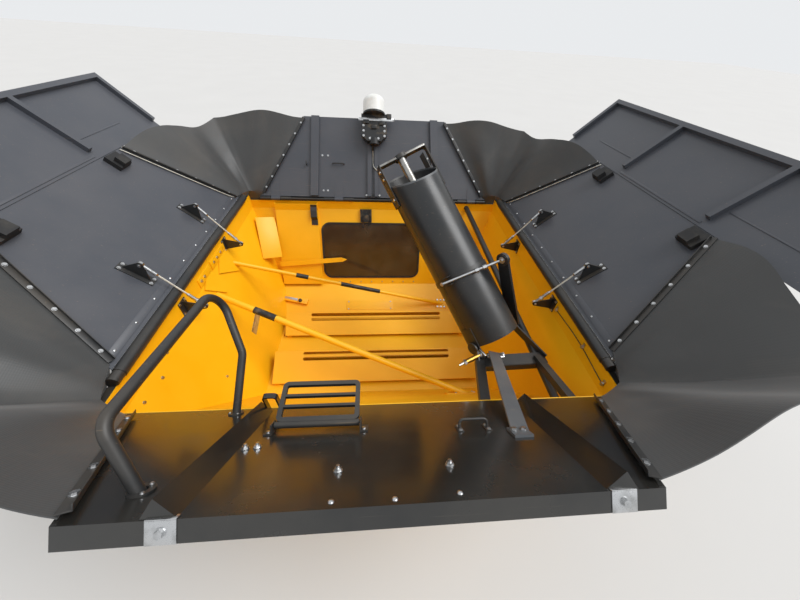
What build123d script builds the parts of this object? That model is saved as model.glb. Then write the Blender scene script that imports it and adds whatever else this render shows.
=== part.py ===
"""Grain tank of a combine harvester, with folding roof flaps and a fold-down filling auger.

Frame in millimetres: +X to the machine's right, +Y forward to the cab, +Z up.
The origin is the centre of the base frame's underside, where the tank sits on the machine.
"""
import os
from math import atan2, cos, hypot, radians, sin, tan

from build123d import *

# driving sizes of the tank
TOP_Z = 1500.0           # height of the tank's top edge above the base frame's underside
HALF_X = 1400.0          # half width of the opening
HALF_Y = 1262.0          # half length of the opening
BAND = 150.0             # upright band of the side walls under the top edge
FRONT_DROP = 60.0        # the front wall stops this far below the side walls
FLOOR_DEPTH = 1200.0     # floor below the top edge
FLOOR_HALF_X = HALF_X - 320.0
FLOOR_FRONT_Y = 500.0
FLOOR_REAR_Y = -500.0
LEDGE_Y = 910.0          # where the front wall bends to its shallow foot
LEDGE_DEPTH = 1000.0
WALL = 4.0               # tank sheet
SEAT = 0.3               # running gap between pieces that are seated but not one solid

# side flaps
OPEN_ANGLE = 45.0        # of an open side flap above the level
SIDE_HINGE_UP = 40.0     # hinge line above the top edge
HINGE_TUBE_R = 35.0
SHEET = 4.0
PANEL_IN = HINGE_TUBE_R + SEAT
PANEL_OUT = 900.0
PANEL_HALF_IN = 1050.0
PANEL_HALF_OUT = 630.0
WING_IN = 868.0
WING_OUT = 1385.0
WING_HALF = 1250.0
BEAM = 36.0              # square section of the wing's frame

# front flap
FRONT_ANGLE = 55.0
FRONT_HINGE_UP = -35.0
FRONT_IN = 27.0
FRONT_OUT = 870.0
FRONT_HALF_IN = 1285.0
FRONT_HALF_OUT = 780.0

# rear panel
REAR_ANGLE = 45.0
REAR_OUT = 830.0
REAR_HALF_IN = 1250.0
REAR_HALF_OUT = 800.0

# filling auger
TUBE_R = 200.0
TUBE_WALL = 5.0
TUBE_LENGTH = 1365.0     # along its axis, to the middle of the slanted mouth
MOUTH_SLANT = (-0.175, -0.525, 1.0)   # normal of the mouth in the tube's own frame
TRUNNION_R = 22.0
PIVOT = (HALF_X - 526.0, -HALF_Y + 642.0, TOP_Z - 220.0)
AUGER_HEADING = 125.1    # plan direction of the raised tube, from +X
AUGER_UP = 38.5
SHAFT_R = 32.0

# cross augers
CROSS_YS = (350.0, -200.0)
TROUGH_R = 120.0
CROSS_R = 105.0
CROSS_SHAFT_R = 28.0

os.makedirs("parts", exist_ok=True)


def save(name, solid):
    solid.label = name
    export_step(solid, f"parts/{name}.step")
    print(name, round(solid.volume / 1e6, 2), solid.is_valid)


def mirrored(solid):
    return mirror(solid, about=Plane.YZ)


def box(low, high):
    """Box between two corners."""
    size = [h - l for l, h in zip(low, high)]
    mid = [(h + l) / 2 for l, h in zip(low, high)]
    return Pos(*mid) * Box(*size)


def bar(start, end, width, depth, roll=(0, 0, 1)):
    """Straight bar of rectangular section from start to end; depth runs along roll."""
    axis = Vector(*end) - Vector(*start)
    side = Vector(*roll).cross(axis)
    plane = Plane(origin=start, x_dir=side, z_dir=axis)
    return extrude(plane * Rectangle(width, depth), axis.length)


def tube(start, end, radius, wall=0.0):
    axis = Vector(*end) - Vector(*start)
    ring = Circle(radius) - Circle(radius - wall) if wall else Circle(radius)
    return extrude(Plane(origin=start, z_dir=axis) * ring, axis.length)


def bent_tube(points, radii, radius, wall):
    """Round tube along straight runs joined by arcs."""
    path = FilletPolyline(*points, radius=radii)
    start = Plane(origin=path @ 0, z_dir=path % 0)
    ring = Circle(radius) - Circle(radius - wall)
    return sweep(start * ring, path=path)


def prism(points, low, high, plane):
    """Outline drawn on a plane and extruded from low to high along its normal."""
    face = make_face(Polyline(*points, close=True))
    return extrude(plane.offset(low) * face, high - low)


# tank walls

X_PROFILE = [(HALF_X, 0.0), (HALF_X, BAND), (FLOOR_HALF_X, FLOOR_DEPTH)]
FRONT_PROFILE = [(HALF_Y, FRONT_DROP), (HALF_Y, BAND), (LEDGE_Y, LEDGE_DEPTH), (FLOOR_FRONT_Y, FLOOR_DEPTH)]
REAR_PROFILE = [(-HALF_Y, 0.0), (-HALF_Y, BAND), (FLOOR_REAR_Y, FLOOR_DEPTH)]


def sheet_along(profile, outward, thickness):
    """Closed outline of a sheet that follows a profile of (offset, depth) points."""
    inner = [(p, TOP_Z - d) for p, d in profile]
    runs = []
    for (p0, z0), (p1, z1) in zip(inner, inner[1:]):
        length = hypot(p1 - p0, z1 - z0)
        across = ((z0 - z1) / length, (p1 - p0) / length)
        turn = 1 if across[0] * outward > 0 else -1
        runs.append((across[0] * turn, across[1] * turn))
    outer = []
    for (p, z), before, after in zip(inner, runs[:1] + runs, runs + runs[-1:]):
        n = (before[0] + after[0], before[1] + after[1])
        scale = 2 * thickness / (n[0] ** 2 + n[1] ** 2)
        outer.append((p + n[0] * scale, z + n[1] * scale))
    return inner + outer[::-1]


def tank_walls():
    xz = Plane.XZ
    yz = Plane.YZ
    far = HALF_Y + 200
    wide = HALF_X + 200
    right_sheet = prism(sheet_along(X_PROFILE, 1, WALL), -far, far, xz)
    front_sheet = prism(sheet_along(FRONT_PROFILE, 1, WALL), -wide, wide, yz)
    rear_sheet = prism(sheet_along(REAR_PROFILE, -1, WALL), -wide, wide, yz)
    hollow_y = [(p, TOP_Z - d) for p, d in FRONT_PROFILE] + [(p, TOP_Z - d) for p, d in REAR_PROFILE[::-1]]
    hollow_y[0] = (HALF_Y, TOP_Z)
    hollow_y[-1] = (-HALF_Y, TOP_Z)
    inner_y = prism(hollow_y, -wide, wide, yz)
    outer_x = [sheet_along(X_PROFILE, 1, WALL)[i] for i in (5, 4, 3)]
    outline_x = outer_x + [(-x, z) for x, z in outer_x[::-1]]
    outer = prism(outline_x, -far, far, xz)
    right = right_sheet & inner_y
    inner_line = [(x, TOP_Z - d) for x, d in X_PROFILE]
    inner_x = prism(inner_line + [(-x, z) for x, z in inner_line[::-1]], -far, far, xz)
    return right, front_sheet & outer, rear_sheet & outer, inner_x & inner_y


right_wall, front_wall, rear_wall, tank_space = tank_walls()

# window in the front wall's slope
SLOPE = atan2(HALF_Y - LEDGE_Y, LEDGE_DEPTH - BAND)
WINDOW_X = (-640.0, 530.0)
WINDOW_DEPTH = (300.0, 915.0)
WINDOW_CORNER = 95.0


def front_plane(depth):
    """Plane on the front wall's slope, x along +X, y up the slope."""
    y = HALF_Y - (depth - BAND) * tan(SLOPE)
    return Plane(origin=(0, y, TOP_Z - depth), x_dir=(1, 0, 0), z_dir=(0, -cos(SLOPE), sin(SLOPE)))


window_mid = front_plane(sum(WINDOW_DEPTH) / 2)
WINDOW_W = WINDOW_X[1] - WINDOW_X[0]
WINDOW_H = (WINDOW_DEPTH[1] - WINDOW_DEPTH[0]) / cos(SLOPE)
window_at = Pos(sum(WINDOW_X) / 2, 0, 0)
hole = extrude(window_mid * (window_at * RectangleRounded(WINDOW_W, WINDOW_H, WINDOW_CORNER)), 60, both=True)
front_wall = front_wall - hole

DUCT_X = (-HALF_X + 260.0, WINDOW_X[0] - 30.0)
DUCT_OFF = 45.0          # the duct's face stands this far off the front wall
DUCT_ENDS = (FRONT_DROP + 16.0, 970.0)   # its top stays clear of the folded flap's rib


def front_duct():
    """Shallow sheet duct down the front wall, left of the window."""
    top, low = DUCT_ENDS
    foot = front_plane(low).origin.Y
    face = [(HALF_Y - DUCT_OFF, top), (HALF_Y - DUCT_OFF, BAND), (foot - DUCT_OFF, low)]
    duct = prism(sheet_along(face, 1, WALL), *DUCT_X, Plane.YZ)
    wall_line = [(HALF_Y, top), (HALF_Y, BAND), (foot, low)]
    side = [(p, TOP_Z - d) for p, d in face + wall_line[::-1]]
    for x in DUCT_X:
        duct += prism(side, x - WALL / 2, x + WALL / 2, Plane.YZ)
    return duct


front_wall += front_duct()
LIP = 18.0
seal_ring = RectangleRounded(WINDOW_W + LIP, WINDOW_H + LIP, WINDOW_CORNER + LIP / 2) - RectangleRounded(
    WINDOW_W - LIP, WINDOW_H - LIP, WINDOW_CORNER - LIP / 2)
window_seal = extrude(window_mid.offset(SEAT) * (window_at * seal_ring), 8)
glass = extrude(window_mid.offset(-WALL) * (window_at * RectangleRounded(
    WINDOW_W - 2, WINDOW_H - 2, WINDOW_CORNER - 1)), WALL)

save("front_wall", front_wall)
save("rear_wall", rear_wall)
save("right_wall", right_wall)
save("left_wall", mirrored(right_wall))
save("window_seal", window_seal)
save("window_glass", glass)

# floor with two troughs, cross augers and their covers

ledge_slope = atan2(FLOOR_DEPTH - LEDGE_DEPTH, LEDGE_Y - FLOOR_FRONT_Y)
FLOOR_Z = TOP_Z - FLOOR_DEPTH - WALL * cos(ledge_slope)
TROUGH_AXIS = FLOOR_Z - 70.0
TROUGH_REACH = FLOOR_HALF_X - 20.0
END_PLATE = 12.0
SHAFT_FIT = 0.05


def trough_outline(y, radius):
    sides = make_face(Polyline((y - radius, TROUGH_AXIS), (y + radius, TROUGH_AXIS),
                               (y + radius, FLOOR_Z + 10), (y - radius, FLOOR_Z + 10), close=True))
    return sides + Pos(y, TROUGH_AXIS) * Circle(radius)


def floor():
    plate = box((-FLOOR_HALF_X - 20, FLOOR_REAR_Y - 20, FLOOR_Z - WALL - SEAT),
                (FLOOR_HALF_X + 20, FLOOR_FRONT_Y + 20, FLOOR_Z - SEAT))
    below = box((-HALF_X, -HALF_Y, 0), (HALF_X, HALF_Y, FLOOR_Z - SEAT))
    for y in CROSS_YS:
        shell = extrude(Plane.YZ * trough_outline(y, TROUGH_R + WALL), TROUGH_REACH + END_PLATE, both=True)
        hollow = extrude(Plane.YZ * trough_outline(y, TROUGH_R), TROUGH_REACH, both=True)
        plate = plate + (shell & below) - hollow
        plate -= tube((-FLOOR_HALF_X, y, TROUGH_AXIS), (FLOOR_HALF_X, y, TROUGH_AXIS), CROSS_SHAFT_R + SHAFT_FIT)
    return plate


def screw(radius, shaft_r, pitch, turns, thick, before, after):
    """Auger screw along +Z: one flight wound on a shaft that reaches past both its ends."""
    helix = Helix(pitch, pitch * turns, shaft_r - 1)
    depth = radius - shaft_r + 1
    section = Plane(origin=helix @ 0, x_dir=(1, 0, 0), z_dir=helix % 0) * (Pos(depth / 2, 0) * Rectangle(depth, thick))
    flight = sweep(section, path=helix, is_frenet=True)
    shaft = Pos(0, 0, -before) * extrude(Circle(shaft_r), before + pitch * turns + after)
    return shaft + flight


CROSS_PITCH = 250.0
CROSS_TURNS = 2 * (TROUGH_REACH - 20) / CROSS_PITCH


def cross_auger(y):
    length = CROSS_PITCH * CROSS_TURNS
    reach = FLOOR_HALF_X + 15
    wound = screw(CROSS_R, CROSS_SHAFT_R, CROSS_PITCH, CROSS_TURNS, WALL,
                  reach - length / 2, reach - length / 2)
    return Pos(-length / 2, y, TROUGH_AXIS) * Rot(0, 90, 0) * wound


COVER_FRONT = 140.0      # the cover's front edge, from the screw's axis
COVER_REAR = {"front": -150.0, "rear": -210.0}
COVER_FOOT_UP = 45.0
COVER_RIDGE = (70.0, 190.0)
COVER_LEG = 40.0
COVER_SHEET = 6.0
SLOT_REACH = 750.0
SLOTS = ((10.0, 46.0), (62.0, 98.0))   # from and to, down the rear slope from the ridge


def cross_cover(y, rear_edge):
    """Roof over a cross auger: a folded sheet on four short legs, with two long slots behind its ridge."""
    front, rear = (y + COVER_FRONT, FLOOR_Z + COVER_FOOT_UP), (y + rear_edge, FLOOR_Z + COVER_FOOT_UP)
    ridge = (y + COVER_RIDGE[0], FLOOR_Z + COVER_RIDGE[1])
    line = [front, ridge, rear]
    half = TROUGH_REACH - 30
    roof = prism(line + [(p, z - COVER_SHEET) for p, z in line[::-1]], -half, half, Plane.YZ)
    under = prism(line + [(p, FLOOR_Z) for p, z in line[::-1]], -half, half, Plane.YZ)
    for x in (-half + COVER_LEG, half - COVER_LEG):
        for foot in (front[0] - COVER_LEG / 2, rear[0] + COVER_LEG / 2):
            leg = box((x - COVER_LEG / 2, foot - COVER_SHEET, FLOOR_Z), (x + COVER_LEG / 2, foot, ridge[1]))
            roof += leg & under
    down = (Vector(0, *rear) - Vector(0, *ridge)).normalized()
    slope = Plane(origin=(0, *ridge), x_dir=(1, 0, 0), z_dir=Vector(1, 0, 0).cross(down))
    for near, far in SLOTS:
        slot = Pos(0, (near + far) / 2) * SlotOverall(2 * SLOT_REACH, far - near)
        roof -= extrude(slope * slot, 2 * COVER_SHEET, both=True)
    return roof


save("tank_floor", floor())
for end, y in zip(("front", "rear"), CROSS_YS):
    save(f"{end}_cross_auger", cross_auger(y))
    save(f"{end}_auger_cover", cross_cover(y, COVER_REAR[end]))

# rim and base frame

RIM = 45.0
RIM_SHEET = 5.0


def rim():
    """Angle along the outside of a side wall's top edge."""
    inside = HALF_X + WALL + SEAT
    side = box((inside, -HALF_Y, TOP_Z - RIM), (inside + RIM_SHEET, HALF_Y, TOP_Z))
    side += box((inside, -HALF_Y, TOP_Z - RIM_SHEET), (HALF_X + RIM, HALF_Y, TOP_Z))
    return side


BASE_X = 560.0
BASE_W = 80.0
BASE_H = 90.0
POST = 60.0
BOLT_R = 9.0
BOLT_X = BASE_X
BOLT_Y = 700.0


def base_frame():
    """Two lengthwise rails that carry the troughs, and a cross member with two posts at each end."""
    for name, s in (("left_base_rail", -1), ("right_base_rail", 1)):
        rail = box((s * BASE_X - BASE_W / 2, -HALF_Y + 60, 0), (s * BASE_X + BASE_W / 2, HALF_Y - 60, BASE_H))
        for y in CROSS_YS:
            rail += box((s * BASE_X - BASE_W / 2, y - TROUGH_R - 30, BASE_H - 1),
                        (s * BASE_X + BASE_W / 2, y + TROUGH_R + 30, FLOOR_Z - WALL - 2 * SEAT))
            rail -= extrude(Plane.YZ * trough_outline(y, TROUGH_R + WALL + SEAT), FLOOR_HALF_X, both=True)
        for y in (-BOLT_Y, BOLT_Y):
            rail -= tube((s * BOLT_X, y, -1), (s * BOLT_X, y, BASE_H + 1), BOLT_R)
        yield name, rail
    post_x = HALF_X + WALL + 2 * SEAT + RIM_SHEET + POST / 2
    for name, y in (("front_support", HALF_Y - 120), ("rear_support", -HALF_Y + 120)):
        frame = box((-post_x, y - POST / 2, BASE_H + SEAT), (post_x, y + POST / 2, BASE_H + SEAT + POST))
        for s in (-1, 1):
            frame += box((s * post_x - POST / 2, y - POST / 2, BASE_H + SEAT),
                         (s * post_x + POST / 2, y + POST / 2, TOP_Z - RIM_SHEET - SEAT))
        yield name, frame


for name, solid in base_frame():
    save(name, solid)

# cross braces inside the tank

FRONT_BRACE = ((-HALF_X, 358.0, TOP_Z - BAND - 100.0), (0.6 * HALF_X, 664.0, TOP_Z - FLOOR_DEPTH + 69.0))
REAR_BRACE = ((-HALF_X, -52.0, TOP_Z - BAND - 135.0), (0.6 * HALF_X, -0.6 * HALF_Y, TOP_Z - 0.75 * FLOOR_DEPTH))
FRONT_BRACE_R, REAR_BRACE_R, BRACE_WALL = 20.0, 27.0, 4.0
FRONT_PAD = (130.0, 120.0, 3)   # length, width and rows of bolts
REAR_PAD = (330.0, 84.0, 2)
PAD_T = 8.0
PAD_BOLT_IN = 14.0
PAD_BOLT_R = 6.0


def wall_pad(brace, wall, length, width, bolt_rows):
    """Bolted pad where a brace meets a wall, which is given by two (y, depth) points."""
    (y0, d0), (y1, d1) = wall
    normal = Vector(0, d1 - d0, y1 - y0) * (1 if y1 > y0 else -1)
    start, end = Vector(*brace[0]), Vector(*brace[1])
    corner = Vector(0, y0, TOP_Z - d0)
    share = (corner - start).dot(normal) / (end - start).dot(normal)
    meet = start + (end - start) * share
    pad = Plane(origin=meet, x_dir=normal.cross((end - start).cross(normal)), z_dir=normal)
    solid = pad * Pos(0, 0, PAD_T / 2) * Box(length, width, PAD_T)
    for i in range(bolt_rows):
        along = (i + 0.5) * length / bolt_rows - length / 2
        for across in (-width / 2 + PAD_BOLT_IN, width / 2 - PAD_BOLT_IN):
            solid -= pad * Pos(along, across, 0) * extrude(Circle(PAD_BOLT_R), 2 * PAD_T, both=True)
    return solid


front_pad = wall_pad(FRONT_BRACE, FRONT_PROFILE[2:], *FRONT_PAD)
rear_pad = wall_pad(REAR_BRACE, REAR_PROFILE[1:], *REAR_PAD)
save("front_brace", (tube(*FRONT_BRACE, FRONT_BRACE_R, BRACE_WALL) + front_pad) & tank_space)
save("rear_brace", (tube(*REAR_BRACE, REAR_BRACE_R, BRACE_WALL) + rear_pad) & tank_space)

# rear panel, fixed to the tank: sheet, top lip and two ribs

rear_plane = Plane(origin=(0, -HALF_Y - WALL - SEAT, TOP_Z), x_dir=(-1, 0, 0),
                   z_dir=(0, sin(radians(REAR_ANGLE)), cos(radians(REAR_ANGLE))))


def rear_half(t):
    """Half width of the rear panel at a distance t up its slope."""
    return REAR_HALF_IN + (REAR_HALF_OUT - REAR_HALF_IN) * t / REAR_OUT


def rear_point(x, t, up=0.0):
    local = rear_plane.from_local_coords(Vector(-x, t, up))
    return (local.X, local.Y, local.Z)


LIP_DEPTH = 60.0
panel_edge = [(-rear_half(0), 0), (rear_half(0), 0), (rear_half(REAR_OUT), REAR_OUT), (-rear_half(REAR_OUT), REAR_OUT)]
rear_panel = prism(panel_edge, -SHEET, 0, rear_plane)
lip_edge = [(-rear_half(REAR_OUT), REAR_OUT - SHEET), (rear_half(REAR_OUT), REAR_OUT - SHEET),
            (rear_half(REAR_OUT), REAR_OUT), (-rear_half(REAR_OUT), REAR_OUT)]
rear_panel += prism(lip_edge, -LIP_DEPTH, 0, rear_plane)
rear_panel += box((-REAR_HALF_IN, -HALF_Y - WALL - SEAT - SHEET, TOP_Z - LIP_DEPTH),
                  (REAR_HALF_IN, -HALF_Y - WALL - SEAT, TOP_Z))


# everything under the rear panel's surface, taken off the pieces that stand on it
full_plan = [(-HALF_X, -HALF_Y), (HALF_X, -HALF_Y), (HALF_X, HALF_Y), (-HALF_X, HALF_Y)]
below_rear = prism(full_plan, -100, SEAT, rear_plane)


RIB_W, RIB_UP = 88.0, 50.0
RIB_RIDGE = 14.0         # the ridge stands this far from the rib's middle, towards the panel's middle
# ribs of the rear panel: middle at the foot, the foot's height up the slope, middle at the head
REAR_RIBS = (
    (-REAR_HALF_OUT + 219.0, 45.0, -REAR_HALF_OUT + 243.0),
    (REAR_HALF_OUT - 34.0, 60.0, REAR_HALF_OUT - 128.0),
)


def rear_rib(foot_x, foot_t, head_x):
    """Folded rib of triangular section that runs up to the lip."""
    foot, head = Vector(*rear_point(foot_x, foot_t)), Vector(*rear_point(head_x, REAR_OUT - SHEET))
    run = head - foot
    section = Plane(origin=foot, x_dir=rear_plane.z_dir.cross(run), z_dir=run)
    ridge = RIB_RIDGE if foot_x > 0 else -RIB_RIDGE
    outline = make_face(Polyline((-RIB_W / 2, 0), (RIB_W / 2, 0), (ridge, RIB_UP), close=True))
    face = section * outline
    if (face.center() - foot).dot(rear_plane.z_dir) < 0:
        face = section * mirror(outline, about=Plane.XZ)
    return extrude(face, run.length)


HOOP_XS = (-REAR_HALF_OUT + 233.0, -REAR_HALF_OUT + 303.0)
HOOP_T, HOOP_DEEP, HOOP_UP, HOOP_BAR = 20.0, 26.0, 140.0, 8.0


def rear_hoop():
    """Upright loop of flat bar at the panel's lower edge."""
    width = HOOP_XS[1] - HOOP_XS[0]
    ring = RectangleRounded(width, 2 * HOOP_UP, 20) - RectangleRounded(
        width - 2 * HOOP_BAR, 2 * (HOOP_UP - HOOP_BAR), 20 - HOOP_BAR)
    across = Plane(origin=rear_point(sum(HOOP_XS) / 2, HOOP_T), x_dir=(1, 0, 0), z_dir=(0, -1, 0))
    hoop = extrude(across * ring, HOOP_DEEP / 2, both=True)
    return hoop & rear_plane * Pos(0, 0, 100) * Box(4 * HALF_X, 4 * HALF_X, 202)


LUG_AT = (REAR_HALF_OUT + 25.0, 80.0)
LUG_HOLE_R = 13.0


def rear_lug():
    """Upright ear with a hole, beside the right rib's foot."""
    x, t = LUG_AT
    ear = Plane(origin=rear_point(x, t), x_dir=(0, -sin(radians(REAR_ANGLE)), cos(radians(REAR_ANGLE))),
                z_dir=(1, 0, 0))
    side = make_hull([*(Pos(0, 55) * Circle(30)).edges(), *(Pos(200, 0) * Circle(1)).edges(),
                      *(Pos(-30, 0) * Circle(1)).edges()])
    lug = extrude(ear * side, 5, both=True) - extrude(ear * (Pos(0, 55) * Circle(LUG_HOLE_R)), 6, both=True)
    return lug & rear_plane * Pos(0, 0, 60) * Box(4 * HALF_X, 4 * HALF_X, 122)


rear_panel += rear_hoop() + rear_lug()
for rib in REAR_RIBS:
    rear_panel += rear_rib(*rib)
save("rear_panel", rear_panel)

# handrail on the rear panel, above the left rear corner

RAIL_R = 19.0
RAIL_FOOT = (-REAR_HALF_OUT + 114.0, 700.0)
RAIL_END = (-REAR_HALF_OUT + 90.0, 62.0)
RAIL = [rear_point(*RAIL_FOOT, -RAIL_R), (-775, -1640, TOP_Z + 660), (-810, -850, TOP_Z + 490),
        (-690, -1085, TOP_Z + 235), rear_point(*RAIL_END, -RAIL_R)]


def handrail():
    """Bent tube with a flange at each end."""
    rail = bent_tube(RAIL, [70, 90, 90], RAIL_R, 3)
    for place in (RAIL_FOOT, RAIL_END):
        flange = Circle(RAIL_R + 16) - Circle(RAIL_R - 2)
        rail += extrude(rear_plane * Pos(-place[0], place[1]) * flange, 6)
    return rail - below_rear


save("handrail", handrail())

# folding step and grab handle

STEP_W, STEP_D = 350.0, 190.0
STEP_PIN_R = 6.0
STEP_AT = (-265.0, 320.0, 30.0)
step_hinge = rear_point(*STEP_AT)


def step():
    """Grate with a barrel along its hinged edge."""
    near = STEP_PIN_R + 4
    frame = RectangleRounded(STEP_W, STEP_D, 24) - RectangleRounded(STEP_W - 40, STEP_D - 40, 8)
    grate = extrude(frame, 20)
    for v in (-25, 25):
        grate += Pos(0, v, 10) * Box(STEP_W - 30, 12, 20)
    tread = Pos(0, STEP_D / 2 + near, -10) * grate
    tread += extrude(Plane.YZ * Circle(near + 4), STEP_W / 2, both=True)
    return tread - extrude(Plane.YZ * Circle(STEP_PIN_R + SHAFT_FIT), STEP_W, both=True)


def step_bracket():
    """Two lugs on the rear panel, joined by the step's hinge pin."""
    x, t, up = STEP_AT
    half = STEP_W / 2 + 4
    bracket = tube(rear_point(x - half, t, up), rear_point(x + half, t, up), STEP_PIN_R)
    for s in (-1, 1):
        at = Pos(-x - s * (half + 3), t, 0)
        bracket += rear_plane * at * Pos(0, 0, (up + 12) / 2) * Box(6, 60, up + 12)
        bracket += rear_plane * at * Pos(-s * 14, 0, 3) * Box(34, 60, 6)
    return bracket - below_rear


step_plane = Plane(origin=step_hinge, x_dir=(1, 0, 0), z_dir=(0, 0, 1))
save("folding_step", step_plane * step())
save("step_bracket", step_bracket())
HANDLE_XS = (335.0, 455.0)
HANDLE_T = 366.0
HANDLE_UP = 40.0
handle_path = [rear_point(x, HANDLE_T, up) for x, up in zip(HANDLE_XS[:1] * 2 + HANDLE_XS[1:] * 2,
                                                            (SEAT, HANDLE_UP, HANDLE_UP, SEAT))]
save("grab_handle", bent_tube(handle_path, [18, 18], 6, 2))

# side flap on the right, drawn on its own plane: x out from the hinge line, y forward

FLAP_COS, FLAP_SIN = cos(radians(OPEN_ANGLE)), sin(radians(OPEN_ANGLE))
HINGE_Z = TOP_Z + SIDE_HINGE_UP
flap_plane = Plane(origin=(HALF_X, 0, HINGE_Z), x_dir=(FLAP_COS, 0, FLAP_SIN), z_dir=(-FLAP_SIN, 0, FLAP_COS))


def flap_panel():
    outline = [(PANEL_IN, -PANEL_HALF_IN), (PANEL_OUT, -PANEL_HALF_OUT), (PANEL_OUT, PANEL_HALF_OUT),
               (PANEL_IN, PANEL_HALF_IN)]
    return prism(outline, -SHEET, 0, flap_plane)


def flap_wing():
    outline = [(WING_IN, -WING_HALF), (WING_OUT, -WING_HALF), (WING_OUT, WING_HALF), (WING_IN, WING_HALF)]
    return prism(outline, SEAT, SHEET + SEAT, flap_plane)


def flap_frame():
    """Beams round the wing and two ribs across it, on its inner face."""
    low, high = SHEET, SHEET + BEAM
    frame = Part()
    for v in (-WING_HALF, WING_HALF - BEAM, -480 - BEAM / 2, 380 - BEAM / 2):
        beam = [(WING_IN + 60, v), (WING_OUT, v), (WING_OUT, v + BEAM), (WING_IN + 60, v + BEAM)]
        frame += prism(beam, low, high, flap_plane)
    frame += prism([(WING_OUT - BEAM, -WING_HALF), (WING_OUT, -WING_HALF), (WING_OUT, WING_HALF),
                    (WING_OUT - BEAM, WING_HALF)], low, high, flap_plane)
    return frame


def flap_hinge_tube():
    return tube((HALF_X, -PANEL_HALF_IN, HINGE_Z), (HALF_X, PANEL_HALF_IN, HINGE_Z), HINGE_TUBE_R, 4)


def hinge_pins():
    """Short pins on rim brackets, at both ends of the hinge tube."""
    pins = Part()
    for s in (-1, 1):
        y0, y1 = s * (PANEL_HALF_IN - 60), s * (PANEL_HALF_IN + 60)
        pins += tube((HALF_X, y0, HINGE_Z), (HALF_X, y1, HINGE_Z), HINGE_TUBE_R - 4 - SHAFT_FIT)
        low, high = sorted((s * (PANEL_HALF_IN + 26), y1))
        pins += box((HALF_X + WALL + SEAT, low, TOP_Z - 5), (HALF_X + RIM, high, HINGE_Z))
    return pins


BUFFER_S = 850.0
BUFFER_YS = (450.0, -560.0)
BUFFER_STEPS = ((110.0, 130.0, 35.0), (66.0, 84.0, 70.0))   # across, along and top of each step


def flap_buffers():
    """Stepped rubber blocks beside the wing's inner edge, which the folded flaps rest on."""
    blocks = Part()
    for y in BUFFER_YS:
        for across, along, top in BUFFER_STEPS:
            low = BUFFER_S - BUFFER_STEPS[0][0]
            near, far = y - along / 2, y + along / 2
            block = [(low, near), (low + across, near), (low + across, far), (low, far)]
            blocks += prism(block, SEAT, top, flap_plane)
    return blocks


STAY_YS = (410.0, -410.0)
FLAP_EYE = 250.0         # of the stays' upper ends, from the hinge line
EYE_UP = 90.0
WALL_EYE = (HALF_X - 145.0, TOP_Z - 90.0)
STAY_R = 5.0
PLATE = 6.0
EYE_R = 20.0             # round end of a bracket, about the stay's eye


def flap_point(s, y, up=0.0):
    return (HALF_X + s * FLAP_COS - up * FLAP_SIN, y, HINGE_Z + s * FLAP_SIN + up * FLAP_COS)


def flap_brackets():
    """Bolted plates with a standing eye, one for each stay."""
    plates = Part()
    for y in STAY_YS:
        plates += prism([(FLAP_EYE - 120, y - 32), (FLAP_EYE + 95, y - 32), (FLAP_EYE + 95, y + 32),
                         (FLAP_EYE - 120, y + 32)], SEAT, PLATE, flap_plane)
        ear = Plane(origin=flap_point(FLAP_EYE, y), x_dir=flap_plane.x_dir, z_dir=(0, -1, 0))
        outline = make_hull([*(Pos(0, EYE_UP) * Circle(EYE_R)).edges(),
                             *(Pos(-12, PLATE / 2) * Rectangle(170, 1)).edges()])
        plates += extrude(ear * outline, PLATE / 2, both=True)
    return plates


def wall_brackets():
    """Gusset plates that hold the stays' lower ends off the side wall."""
    plates = Part()
    x, z = WALL_EYE
    for y in STAY_YS:
        outline = make_hull([*(Pos(x, z) * Circle(EYE_R)).edges(),
                             *(Pos(HALF_X - SEAT - PLATE, z) * Rectangle(1, 105)).edges()])
        plates += extrude(Plane.XZ.offset(-y) * outline, PLATE / 2, both=True)
        plates += box((HALF_X - SEAT - PLATE, y - 45, z - 56), (HALF_X - SEAT, y + 45, z + 56))
    return plates


def stays():
    wires = Part()
    for y in STAY_YS:
        low = (WALL_EYE[0], y + PLATE / 2 + STAY_R + SEAT, WALL_EYE[1])
        high = flap_point(FLAP_EYE, y + PLATE / 2 + STAY_R + SEAT, EYE_UP)
        wires += tube(low, high, STAY_R)
    return wires


for side, put in (("right", lambda solid: solid), ("left", mirrored)):
    save(f"{side}_flap_panel", put(flap_panel()))
    save(f"{side}_hinge_tube", put(flap_hinge_tube()))
    save(f"{side}_flap_buffers", put(flap_buffers()))
    save(f"{side}_flap_wing", put(flap_wing() + flap_frame()))
    save(f"{side}_flap_brackets", put(flap_brackets()))
    save(f"{side}_wall_brackets", put(wall_brackets()))
    save(f"{side}_stays", put(stays()))
    save(f"{side}_rim", put(rim() + hinge_pins()))

# front flap, drawn on its own plane: x along +X, y up the flap

FRONT_HINGE = (0, HALF_Y, TOP_Z + FRONT_HINGE_UP)
front_flap_plane = Plane(origin=FRONT_HINGE, x_dir=(1, 0, 0),
                         z_dir=(0, -sin(radians(FRONT_ANGLE)), cos(radians(FRONT_ANGLE))))


def front_flap():
    outline = [(-FRONT_HALF_IN, FRONT_IN), (FRONT_HALF_IN, FRONT_IN), (FRONT_HALF_OUT, FRONT_OUT),
               (-FRONT_HALF_OUT, FRONT_OUT)]
    return prism(outline, -SHEET, 0, front_flap_plane)


# ribs of the front flap: middle at its foot, middle at its head, width, height, far end
FRONT_RIBS = (
    (-690.0, -650.0, 84.0, 30.0, FRONT_OUT),
    (-72.0, -66.0, 46.0, 30.0, FRONT_OUT - 250.0),
    (6.0, 6.0, 38.0, 30.0, FRONT_OUT - 250.0),
    (690.0, 650.0, 84.0, 30.0, FRONT_OUT),
)
RIB_FROM = 36.0          # the ribs start this far up the flap
RIB_SHEET = 4.0


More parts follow.
